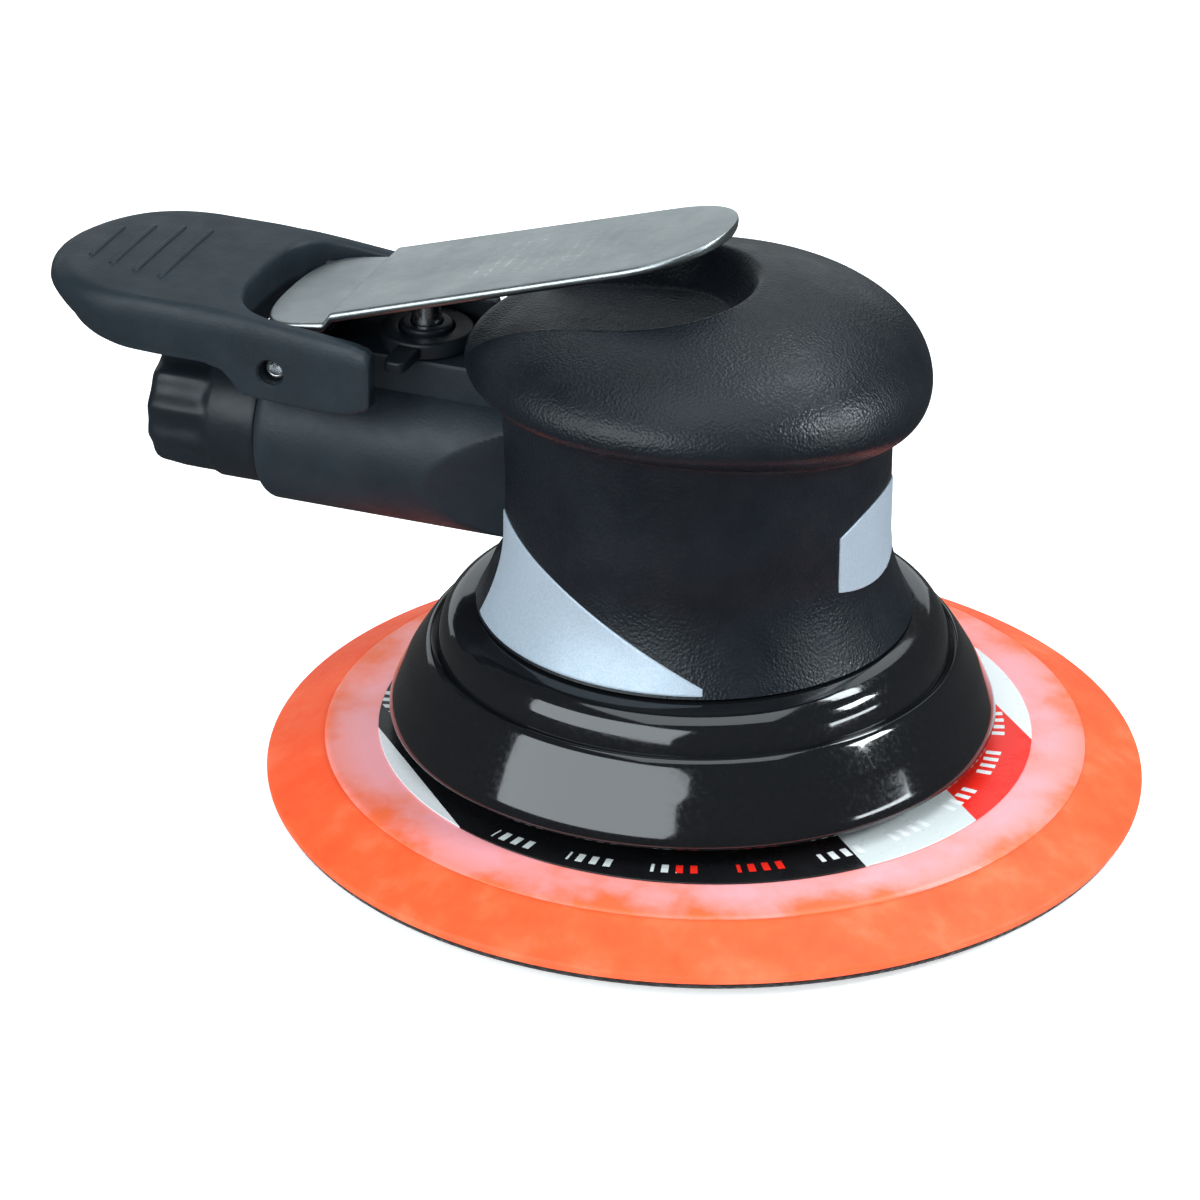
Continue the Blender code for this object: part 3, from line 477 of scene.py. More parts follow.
def pad_skin():
    """Pad's upper skin: pale pink urethane, with the orange foam showing through in patches."""
    made = Finish("pad_skin", (0.93, 0.36, 0.38), 0.34)
    patches = made.noise(16.0, 5.0, 0.6)
    outer = made.spans(made.away(*made.millimetres(shift=(-ORBIT, 0.0, 0.0))), 60.0, 65.6, 0.0, 0.62)
    mixed = made.maths("ADD", outer, made.spans(patches, 0.42, 0.68, 0.0, 0.75))
    made.colour(made.ramp(mixed, [(0.0, (0.95, 0.37, 0.40)), (0.45, (0.95, 0.30, 0.27)), (1.0, (0.95, 0.15, 0.05))]))
    made.gloss(made.spans(made.noise(4.0, 4.0), 0.3, 0.7, 0.28, 0.42))
    made.raise_by(made.noise(5.0, 4.0), 0.05, 0.6)
    return made.material


def hook_face():
    """Hook face: a black pile of tiny hooks."""
    made = Finish("hook_face", (0.012, 0.012, 0.013), 0.85)
    pile = made.cells(1.1)
    made.colour(made.ramp(made.spans(pile, 0.1, 0.8, 0.0, 1.0),
                          [(0.0, (0.03, 0.03, 0.032)), (1.0, (0.006, 0.006, 0.006))]))
    made.raise_by(pile, 0.5, 0.9)
    return made.set(Sheen_Weight=0.2).material


def label_print():
    """Pad label: straight printed bands of white, black, grey-white and red across a gloss film."""
    made = Finish("label_print", (0.8, 0.8, 0.8), 0.3)
    # Bands lie square to a line turned 43.6 degrees from X.
    across, _ = made.millimetres(turn=(0.0, 0.0, math.radians(-43.6)))
    place = made.spans(across, -60.0, 60.0, 0.0, 1.0)
    # Short dashes round the rim take the colour of the band 54 mm further on.
    x, y = made.millimetres()
    off = made.maths("ABSOLUTE", made.maths("SUBTRACT", made.away(x, y), 52.9), 0.0)
    turn = made.maths("ARCTAN2", y, x)
    dash = made.maths("LESS_THAN", made.maths("FRACT", made.maths("MULTIPLY", turn, 22.0), 0.0), 0.5)
    group = made.maths("LESS_THAN", made.maths("FRACT", made.maths("MULTIPLY", turn, 3.7), 0.0), 0.6)
    dash = made.maths("MULTIPLY", dash, made.maths("GREATER_THAN", place, 0.09))
    marked = made.maths("MULTIPLY", made.maths("LESS_THAN", off, 1.3), made.maths("MULTIPLY", dash, group))
    place = made.maths("ADD", place, made.maths("MULTIPLY", marked, 0.45))
    bands = [(-60.0, (0.82, 0.84, 0.85)), (-51.9, (0.006, 0.006, 0.007)), (5.8, (0.66, 0.70, 0.69)),
             (29.6, (0.86, 0.022, 0.012)), (51.5, (0.84, 0.86, 0.86))]
    made.colour(made.ramp(place, [((at + 60.0) / 120.0, colour) for at, colour in bands], True))
    made.gloss(made.spans(made.noise(5.0, 4.0), 0.3, 0.7, 0.22, 0.36))
    made.raise_by(made.noise(12.0, 2.0), 0.03, 0.4)
    return made.material


def simple_grain(name, colour, dark, roughness, size, depth):
    """Felt, rubber or resin: two tones and a grain."""
    return moulded(name, colour, dark, roughness, size, depth, 0.05).material


GRIP = grip_rubber()
SLATE = slate_plastic()
COLLAR = collar_plastic()
GLOSS = skirt_gloss()
LEVER = lever_steel()
STEEL = turned_metal("bright_steel", (0.62, 0.63, 0.65), (0.52, 0.53, 0.55), 0.24)
ALLOY = turned_metal("alloy", (0.56, 0.58, 0.61), (0.47, 0.49, 0.52), 0.38)
BRASS = turned_metal("brass", (0.72, 0.50, 0.20), (0.60, 0.40, 0.15), 0.28)
SILVER = silver_inlay()
FOAM = orange_foam()
SKIN = pad_skin()
HOOKS = hook_face()
LABEL = label_print()
FELT = simple_grain("felt", (0.30, 0.30, 0.29), (0.20, 0.20, 0.19), 0.92, 0.5, 0.2)
RUBBER = simple_grain("seal_rubber", (0.016, 0.016, 0.016), (0.010, 0.010, 0.010), 0.58, 0.7, 0.02)
VANES = simple_grain("vane_resin", (0.20, 0.13, 0.06), (0.13, 0.08, 0.035), 0.52, 0.4, 0.03)
CAGE = simple_grain("cage_resin", (0.06, 0.06, 0.07), (0.04, 0.04, 0.045), 0.48, 0.5, 0.02)

KEPT_LOOKS = {
    STEEL: ("cylinder", "cylinder_pin", "rotor_key", "spindle", "spindle_retaining_ring", "dust_shield", "pad_stud",
            "valve_spring", "spindle_bearing_inner_ring", "spindle_bearing_outer_ring", "front_bearing_inner_ring",
            "front_bearing_outer_ring", "rear_bearing_inner_ring", "rear_bearing_outer_ring"),
    ALLOY: ("motor_lock_ring", "front_endplate", "rear_endplate", "rotor", "balancer_shaft"),
    BRASS: ("tip_valve",),
    FELT: ("muffler_felt", "pad_washer"),
    RUBBER: ("valve_seat", "regulator_o_ring", "plunger_o_ring"),
    VANES: ("vane_1", "vane_2", "vane_3", "vane_4", "vane_5"),
    CAGE: ("spindle_bearing_ball_cage", "front_bearing_ball_cage", "rear_bearing_ball_cage"),
}
for look, names in KEPT_LOOKS.items():
    for name in names:
        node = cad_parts[name]
        node.data.materials.clear()
        node.data.materials.append(look)

# ---------------------------------------------------------------- pad

hooks = turned([(0.0, 0.0), (72.4, 0.0), (75.2, 1.7), (75.3, 2.5), (72.2, 0.9), (0.0, 0.9)], PAD_AT, corner=0.3,
               steps=220)
finish_piece("hook_face", [hooks], HOOKS, "pad", ["pad_hook_face"])

foam_line = [(0.0, 0.9), (72.2, 0.9), (75.3, 2.5), (PAD_R, 3.0), (PAD_R, 4.2), (67.4, 8.7), (66.4, 9.2), (65.6, 9.2),
             (64.0, 7.7), (12.2, 6.9), (12.2, 3.6), (0.0, 3.6)]
foam_shell = turned(foam_line, PAD_AT, corner=0.6, steps=260, span=1.2)
foam = finish_piece("foam_disc", [foam_shell], FOAM, "pad", ["pad_foam"])

skin_line = [(8.2, 7.1), (63.9, 7.9), (65.9, 9.0), (65.9, 9.4), (65.2, 9.7), (62.0, 10.1), (57.6, 10.45),
             (56.9, 10.5), (8.2, 10.5)]
finish_piece("pad_skin", [turned(skin_line, PAD_AT, corner=0.5, steps=260)], SKIN, "pad", ["pad_backing_plate"])
label_line = [(11.0, 10.55), (LABEL_R, 10.55), (LABEL_R, 10.8), (11.0, 10.8)]
finish_piece("pad_label_disc", [turned(label_line, PAD_AT, corner=0.1, steps=220)], LABEL, "pad", ["pad_label"])

# ---------------------------------------------------------------- skirt

skirt_line = [(49.9, 13.8), (52.0, 13.8), (52.6, 14.3), (52.2, 16.1), (51.3, 18.0), (49.5, 21.8), (47.6, 24.8),
              (46.2, 26.9), (45.4, 27.5), (44.8, 27.2), (44.5, 26.7), (44.3, 27.4), (43.9, 28.9), (43.3, 30.7),
              (42.2, 32.3), (40.6, 33.3), (38.0, 33.9), (31.4, 34.1), (31.4, 30.6), (39.0, 30.3), (41.4, 28.2),
              (43.0, 25.0), (46.9, 20.6), (48.8, 17.0)]
skirt_shell = turned(skirt_line, corner=0.9, steps=280, span=1.0)
finish_piece("drive_skirt", [skirt_shell], GLOSS, "housing_body", ["skirt"], 60.0)

# ---------------------------------------------------------------- palm grip


def foot_radius(height):
    """Waist plus a flare that grows with the 1.9 power of the distance below the flare's top."""
    return WAIST_R + FLARE * (np.maximum(FLARE_TOP - height, 0.0) / (FLARE_TOP - FOOT_Z)) ** 1.9


def to_front(angle):
    """0 in front, 1 at the sides and behind: a sine made smooth where it would turn at zero."""
    side = (np.sqrt(np.sin(angle) ** 2 + 0.04) - 0.2) / (math.sqrt(1.04) - 0.2)
    return np.where(np.cos(angle) > 0.0, side, 1.0)


def crease_height(angle):
    """Height of the fold under the bulge: 69.2 in front, 75.2 at the sides and behind."""
    return 69.2 + 6.0 * to_front(angle)


def bulge_height(angle):
    """Height at which the bulge is widest: 76 in front, 80 at the sides and behind."""
    return 76.0 + 4.0 * to_front(angle)


def bulge_radius(angle, height):
    """Above the fold the radius swells from the foot to the bulge as a sine to the power 0.85."""
    fold = crease_height(angle)
    rise = np.clip((height - fold) / (bulge_height(angle) - fold), 0.0, 1.0)
    foot = foot_radius(height)
    return foot + (BULGE_R - foot) * np.sin(rise * math.pi / 2.0) ** 0.85


def channel_height(x, y):
    """The lever channel: a gently rising floor, and a wall that climbs with the 1.5 power outside its plan.

    The plan is a strip with a round end, so that distance is measured to the strip's middle line.
    """
    outside = np.hypot(np.maximum(x - (CHANNEL_END - CHANNEL_HALF), 0.0), y) - CHANNEL_HALF
    floor = 81.6 + 0.11 * (np.maximum(x, -35.0) + 35.0)
    return floor + 9.0 * (np.maximum(outside, 0.0) / CHANNEL_WALL) ** 1.5


def neck_distance(y, z):
    """Rough distance outside the neck's rounded section and the valve block on it."""
    tube = ((np.abs(y) / 16.2) ** 3.0 + (np.abs(z - TUBE_Z) / 14.3) ** 3.0) ** (1.0 / 3.0)
    block = np.maximum(np.maximum(BLOCK_NEAR - y, y - BLOCK_FAR), z - BLOCK_TOP)
    return np.minimum((tube - 1.0) * 15.0, np.where(z > TUBE_Z, block, 9.0))


def grip_grid(columns=420):
    """The grip's outside as rows from foot to fold, fold to bulge and bulge to crown.

    The crown is an ellipse, and its height is the lesser of that ellipse and the channel.
    """
    angle = np.linspace(0.0, TURN, columns, endpoint=False)[None, :]
    fold = crease_height(angle)
    low = FOOT_Z + (fold - FOOT_Z) * np.linspace(0.0, 1.0, 42)[:, None]
    low_r = foot_radius(low)
    widest = bulge_height(angle)
    mid = fold + (widest - fold) * (np.linspace(0.0, 1.0, 40)[1:, None] ** 1.6)
    mid_r = bulge_radius(angle, mid)
    lift = np.linspace(0.0, 1.0, 124)[1:, None] * math.pi / 2.0
    top_r = BULGE_R * np.cos(lift) + 0.0 * angle
    x, y = top_r * np.cos(angle), top_r * np.sin(angle)
    top = soft_least(widest + (CROWN_Z - widest) * np.sin(lift), channel_height(x, y), CHANNEL_RIM * 2.0)
    radius = np.concatenate([low_r, mid_r, top_r])
    height = np.concatenate([low, mid, top])
    # A shallow groove follows the neck where it enters, and the rest behind it is drawn in.
    away = neck_distance(radius * np.sin(angle), height)
    near = (np.cos(angle) < -0.3) & (height < 79.0)
    radius = radius - near * (0.7 * np.exp(-((away / 0.7) ** 2)) + 1.0 * (away < 0.0))
    inner = [(28.6, 80.3), (31.3, 78.3), (31.3, FOOT_Z + 0.3), (31.7, FOOT_Z)]
    inner_r = np.array([0.0] + [r for r, _ in inner])[:, None] + 0.0 * angle
    inner_z = np.array([80.3] + [z for _, z in inner])[:, None] + 0.0 * angle
    radius = np.concatenate([inner_r[:1] * 0.0, inner_r[1:], radius])
    height = np.concatenate([inner_z, height])
    return np.stack([radius * np.cos(angle), radius * np.sin(angle), height], -1)


def relax_rows(grid, first, last, passes):
    """Softens a fold: each row between first and last moves to the mean of itself and its neighbours."""
    for _ in range(passes):
        grid[first:last] = (grid[first - 1:last - 1] + 2.0 * grid[first:last] + grid[first + 1:last + 1]) / 4.0
    return grid


INNER_ROWS = 5
grip = relax_rows(grip_grid(), INNER_ROWS + 36, INNER_ROWS + 52, 5)
finish_piece("palm_grip_cover", [sheet_of(grip, False, True)], GRIP, "housing_body", ["palm_grip"], 70.0)


def raised_patch(middle, half_sweep, low_of, high_of, columns=90, rows=40):
    """A thin inlay on the grip, between two edges given across its sweep.

    Its face lies a quarter of a millimetre above the grip and rolls down at its four sides. A
    second sheet under the grip's surface closes it.
    """
    rim = np.array([0.0, 0.0, 0.10, 0.35])
    swell = np.array([0.0, 0.80, 0.94, 1.0])
    across = np.concatenate([-1.0 + rim / 20.0, np.linspace(-0.97, 0.97, columns), 1.0 - rim[::-1] / 20.0])[:, None]
    side = np.concatenate([swell, np.ones(columns), swell[::-1]])[:, None]
    low, high = low_of(across), high_of(across)
    tall = high - low
    edge = np.minimum(rim[None, :], 0.2 * tall)
    middle_rows = np.linspace(0.0, 1.0, rows)[None, 1:-1]
    inner_low, inner_high = low + edge[:, -1:], high - edge[:, -1:]
    height = np.concatenate([low + edge, inner_low + (inner_high - inner_low) * middle_rows, high - edge[:, ::-1]], 1)
    up = np.concatenate([swell, np.ones(rows - 2), swell[::-1]])[None, :]
    angle = middle + half_sweep * across + 0.0 * height
    base = np.where(height > crease_height(angle), bulge_radius(angle, height), foot_radius(height))
    shells = []
    for face in (-0.3 + (INLAY_LIFT + 0.3) * side * up, -0.3 + 0.0 * height):
        radius = base + face
        shells.append(sheet_of(np.stack([radius * np.cos(angle), radius * np.sin(angle), height], -1)))
    return shells


def swoosh_top(across):
    """Upper edge of a side swoosh: 54 beside the handle, falling with the 1.45 power to the front."""
    return 54.0 - 18.0 * ((across + 1.0) / 2.0) ** 1.45


def swoosh_low(across):
    """Lower edge of a side swoosh: level, just above the foot."""
    return SWOOSH_FOOT + 0.0 * across


def badge_top(across):
    """Upper edge of the badge: 60.5 in the middle, falling with the square of the way across."""
    return 60.5 - 3.0 * across * across


def badge_low(across):
    """Lower edge of the badge: 45.5 in the middle, rising with the square of the way across."""
    return 45.5 + 2.0 * across * across


near_inlay = raised_patch(-SWOOSH_AT, SWOOSH_SWEEP, swoosh_low, swoosh_top)
finish_piece("near_swoosh", near_inlay, SILVER, "housing_body", ["right_swoosh"])
far_inlay = raised_patch(SWOOSH_AT, -SWOOSH_SWEEP, swoosh_low, swoosh_top)
finish_piece("far_swoosh", far_inlay, SILVER, "housing_body", ["left_swoosh"])
badge = raised_patch(0.0, BADGE_SWEEP, badge_low, badge_top)
finish_piece("badge_plate", badge, SILVER, "housing_body", ["front_badge"])

# ---------------------------------------------------------------- handle


def neck_grid(columns=160):
    """Handle tube and neck: the round tube, cut near the grip by a sloping plane on each side.

    The plane's distance along a ray from the tube's axis grows in a straight line with distance
    from the grip, and the lesser of it and the tube's radius leaves a crisp facet.
    """
    start = TUBE_END + TUBE_ROUND
    bend = np.linspace(0.15, 1.0, 7) * math.pi / 2.0
    x = np.concatenate([np.linspace(-24.0, start, 90), start - TUBE_ROUND * np.sin(bend)])[:, None]
    angle = np.linspace(0.0, TURN, columns, endpoint=False)[None, :]
    c, s = np.cos(angle), np.sin(angle)
    lean = np.maximum(0.934 * np.abs(c) - 0.139 * s, 0.05)
    radius = soft_least(TUBE_R + 0.0 * lean * x, (-1.08 - 0.329 * x) / lean, 0.25)
    end = np.clip((start - x) / TUBE_ROUND, 0.0, 1.0)
    radius = radius * (1.0 - 0.12 * (1.0 - np.sqrt(1.0 - end**2)))
    rows = np.stack([x + 0.0 * radius, radius * c, TUBE_Z + radius * s], -1)
    first, last = rows[:1].copy(), rows[-1:].copy()
    first[..., 1:] = (0.0, TUBE_Z)
    last[..., 1:] = (0.0, TUBE_Z)
    return np.concatenate([first, rows, last])


def lug_outline(half, low, top_z):
    """Side view of a lug round the pin: a square foot and a round head."""
    a = np.linspace(math.pi, 0.0, 17)
    head = np.column_stack([PIVOT_X + half * np.cos(a), top_z + half * np.sin(a)])
    return np.vstack([[(PIVOT_X - half, low)], head, [(PIVOT_X + half, low)]])


barrel = turned([(0.0, 80.0), (28.5, 80.0), (31.0, 78.0), (31.0, 29.8), (27.9, 29.8), (27.9, 78.4), (0.0, 78.4)],
                corner=0.5, steps=120)
lugs = [slab(lug_outline(3.8, 64.0, PIVOT_Z), *span, axis="Y") for span in ((-9.8, -5.0), (5.0, 9.8))]
block_plan = soften([(-65.0, BLOCK_NEAR), (-28.0, BLOCK_NEAR), (-28.0, BLOCK_FAR), (-65.0, BLOCK_FAR)], 3.0, 9)
guard_plan = soften([(-60.0, 9.2), (-40.4, 9.2), (-40.4, BLOCK_FAR), (-60.0, BLOCK_FAR)], 1.4, 7)
blocks = [slab(block_plan, 60.0, BLOCK_TOP, edge=0.8), slab(guard_plan, 70.0, 79.4, edge=0.7)]
finish_piece("handle_body", [sheet_of(neck_grid(), False, True), barrel] + blocks + lugs, SLATE, "housing_body",
             ["housing"], 24.0)


def collar_grid(columns=192):
    """Muffler collar: a round band that turns into twelve scallops towards its open end."""
    x = np.array([-77.0, -77.0, -77.1, -77.4, -78.5, -82.0, -85.6, -86.1, -86.6, -87.0, -87.8, -89.0, -91.0, -94.0,
                  -96.2, -97.2, -97.8, -98.0, -98.0, -97.2, -96.0, -84.0, -77.3])[:, None]
    trim = np.array([3.0, 0.6, 0.2, 0.0, 0.0, 0.0, 0.0, 0.2, 0.3, 0.35, 0.3, 0.25, 0.25, 0.3, 0.5, 0.9, 1.5, 2.2, 3.2,
                     3.5, 3.6, 3.6, 3.5])[:, None]
    carve = np.array([0.0] * 8 + [0.1, 0.4, 0.8, 1.0, 1.0, 1.0, 1.0, 0.9, 0.7, 0.4] + [0.0] * 5)[:, None]
    angle = np.linspace(0.0, TURN, columns, endpoint=False)[None, :]
    scallop = 0.5 + 0.5 * np.cos(angle * 12.0)
    radius = COLLAR_R + 0.1 - trim - 0.75 * carve * scallop**0.8
    return np.stack([x + 0.0 * radius, radius * np.cos(angle), TUBE_Z + radius * np.sin(angle)], -1)


finish_piece("muffler_collar", [sheet_of(collar_grid(), True, True)], COLLAR, "housing_body", ["muffler_cap"], 50.0)
thread = [(5.6 + 0.35 * (k % 2), -98.0 + 0.65 * k) for k in range(20)]
bushing_line = [(5.9, -98.4), (8.2, -98.4), (8.2, -76.2), (4.4, -76.2), (4.4, -84.4)] + thread[::-1]
finish_piece("inlet_socket", [turned(bushing_line, (0.0, 0.0, TUBE_Z), "X", 0.15, 72)], STEEL, "housing_body",
             ["inlet_bushing"])

# ---------------------------------------------------------------- valve line on the neck

ring_line = [(4.9, 63.4), (6.8, 63.4), (6.8, 67.4), (6.1, 67.4), (6.1, 68.8), (6.8, 68.8), (6.8, 74.6), (8.3, 74.6),
             (8.3, 77.0), (7.9, 77.4), (4.9, 77.4)]
tab = np.array([(-2.2, -7.0), (2.2, -7.0), (1.9, -14.6), (1.2, -15.4), (-1.2, -15.4), (-1.9, -14.6)])
tab_shell = slab(soften(tab, 0.6) + np.array([VALVE_AT[0], 0.0]), 74.8, 76.8, edge=0.4)
finish_piece("speed_ring", [turned(ring_line, VALVE_AT, corner=0.3, steps=96), tab_shell], COLLAR, "regulator",
             ["speed_regulator"])
guide_line = [(2.85, 62.6), (4.6, 62.6), (4.6, 77.9), (4.2, 78.3), (2.85, 78.3)]
finish_piece("plunger_guide", [turned(guide_line, VALVE_AT, corner=0.25, steps=72)], COLLAR, "housing_body",
             ["plunger_bushing"])
plunger_line = [(0.0, 57.6), (1.8, 57.6), (2.6, 58.7), (2.6, 72.0), (2.0, 72.0), (2.0, 73.2), (2.6, 73.2), (2.6, 82.8),
                (2.2, 84.1), (1.2, 84.9), (0.0, 85.1)]
finish_piece("plunger_stem", [turned(plunger_line, VALVE_AT, corner=0.35, steps=64)], STEEL, "plunger",
             ["valve_plunger"])

# ---------------------------------------------------------------- throttle lever


def lever_height(x):
    """Middle of the lever's sheet: a 9.6 degree climb, a short jog, then a 17.3 degree climb."""
    z = 78.9 + (np.minimum(x, JOG_START) - LEVER_REAR) * HINGE_SLOPE
    z = z + (1.5 + 2.0 * BLADE_SLOPE) * ease(x, JOG_START, JOG_END)
    return z + np.maximum(x - JOG_END, 0.0) * BLADE_SLOPE


def lever_half(x):
    """Half width: a slight taper, closed by a squarish curve behind and a round one at the tip."""
    half = LEVER_HALF - LEVER_TAPER * np.clip((x + 62.0) / 57.0, 0.0, 1.0)
    behind = np.clip(1.0 - (x - LEVER_REAR) / 9.0, 0.0, 1.0)
    ahead = np.clip(1.0 - (LEVER_TIP - x) / LEVER_HALF, 0.0, 1.0)
    return half * (1.0 - behind**3) ** (1.0 / 3.0) * (1.0 - ahead**2.2) ** (1.0 / 2.2)


def lever_grid():
    """The lever's sheet: at each place along it a flat oblong section with rounded corners."""
    rear = LEVER_REAR + 9.0 * (1.0 - np.cos(np.linspace(0.0, 1.5, 26)))
    tip = LEVER_TIP - LEVER_HALF * (1.0 - np.cos(np.linspace(1.5, 0.0, 44)))
    x = np.concatenate([rear, np.linspace(-66.5, -63.0, 4), np.linspace(JOG_START, JOG_END, 11),
                        np.linspace(-60.0, -12.0, 40), tip])
    x = np.unique(x)[:, None]
    half = lever_half(x)
    corner = np.minimum(LEVER_EDGE, half * 0.5)
    a = np.linspace(0.0, math.pi / 2.0, 5)
    t = LEVER_T / 2.0
    flat = np.linspace(-1.0, 1.0, 23)[1:-1]
    blank = 0.0 * half
    span = half - corner
    edge_y, edge_z = span + corner * np.cos(a), blank + t - LEVER_EDGE * (1.0 - np.sin(a))
    top_y, top_z = span * flat[::-1], blank + t + 0.0 * flat
    y = np.concatenate([edge_y, top_y, -edge_y[:, ::-1], -edge_y, -top_y, edge_y[:, ::-1]], 1)
    z = np.concatenate([edge_z, top_z, edge_z[:, ::-1], -edge_z, -top_z, -edge_z[:, ::-1]], 1)
    return np.stack([x + 0.0 * y, y, lever_height(x) + z], -1)


EAR_R = 4.2
EAR_NEAR = LEVER_HALF - 2.0
EAR_FAR = LEVER_HALF - 0.4
ear_a = np.linspace(-math.pi, 0.0, 21)
ear_round = np.column_stack([PIVOT_X + EAR_R * np.cos(ear_a), PIVOT_Z + EAR_R * np.sin(ear_a)])
ear_line = np.vstack([[(PIVOT_X - EAR_R, 79.4)], ear_round, [(PIVOT_X + EAR_R, 80.5)]])
ears = [slab(ear_line, *span, axis="Y") for span in ((-EAR_FAR, -EAR_NEAR), (EAR_NEAR, EAR_FAR))]
finish_piece("lever_blade", [sheet_of(lever_grid(), False, True)] + ears, LEVER, "lever", ["throttle_lever"], 60.0)
pin_line = [(1.25, -17.9), (1.75, -17.9), (2.0, -17.5), (2.0, 17.5), (1.75, 17.9), (1.25, 17.9)]
finish_piece("cross_pin", [turned(pin_line, LEVER_AT, "Y", 0.2, 48)], STEEL, "housing_body", ["lever_pin"])

# ---------------------------------------------------------------- wrist rest

TOP_X = [-118.3, -118.0, -117.5, -116.4, -114.5, -111.4, -106.9, -101.6, -94.0, -84.0, -78.6, -75.6, -68.0, -60.0,
         -55.0, -53.2, -52.2, -51.8]
TOP_Z = [79.6, 80.4, 81.1, 82.0, 82.8, 83.2, 83.5, 83.6, 83.5, 83.5, 83.3, 83.0, 82.2, 81.4, 80.9, 80.3, 79.2, 77.6]
LOW_X = [-118.3, -117.7, -116.4, -114.5, -111.4, -106.9, -101.6, -94.0, -84.0, -79.4, -78.0, -76.6, -75.2, -68.0,
         -60.0, -56.5, -54.2, -52.8, -51.8]
LOW_Z = [78.4, 77.5, 76.3, 75.3, 74.4, 73.6, 73.0, 72.7, 72.6, 72.5, 71.4, 69.5, 68.4, 67.8, 67.6, 67.7, 68.4, 69.6,
         71.4]


def eased_line(x, places, heights):
    """A line through given heights, averaged over a millimetre each way to take its corners off."""
    return sum(np.interp(x + shift, places, heights) for shift in (-1.0, -0.5, 0.0, 0.5, 1.0)) / 5.0


def rest_top(x, y):
    """Top of the rest: its height along the middle, less a crown of the square of Y."""
    return eased_line(x, TOP_X, TOP_Z) - 0.5 * (np.abs(y) / REST_HALF) ** 2


def half_plans(count=150):
    """Inner and outer edges of half the fork in plan, as matching points from arm end to middle.

    Inside: straight along the slot, then a squarish quarter curve. Outside: straight, then
    half an ellipse round the tail. The arm's straight part matches at equal X, and past it the
    two lines match at equal shares of their length.
    """
    arm = np.linspace(-53.8, SLOT_END_X, 30)
    b = np.linspace(0.0, math.pi / 2.0, 400)
    slot = np.column_stack([SLOT_END_X - 11.0 * np.sin(b) ** 0.66, -SLOT_HALF * np.cos(b) ** 0.66])
    q = np.sin(b)
    tail = np.column_stack([REST_TAIL_X - REST_TAIL * q, -REST_HALF * np.sqrt(1.0 - q**2)])
    tail = np.vstack([[(SLOT_END_X, -REST_HALF)], tail])
    share = np.linspace(0.0, 1.0, count)
    inner = np.vstack([np.column_stack([arm, 0.0 * arm - SLOT_HALF])[:-1], along(slot, share)])
    outer = np.vstack([np.column_stack([arm, 0.0 * arm - REST_HALF])[:-1], along(tail, share**1.15)])
    return inner, outer


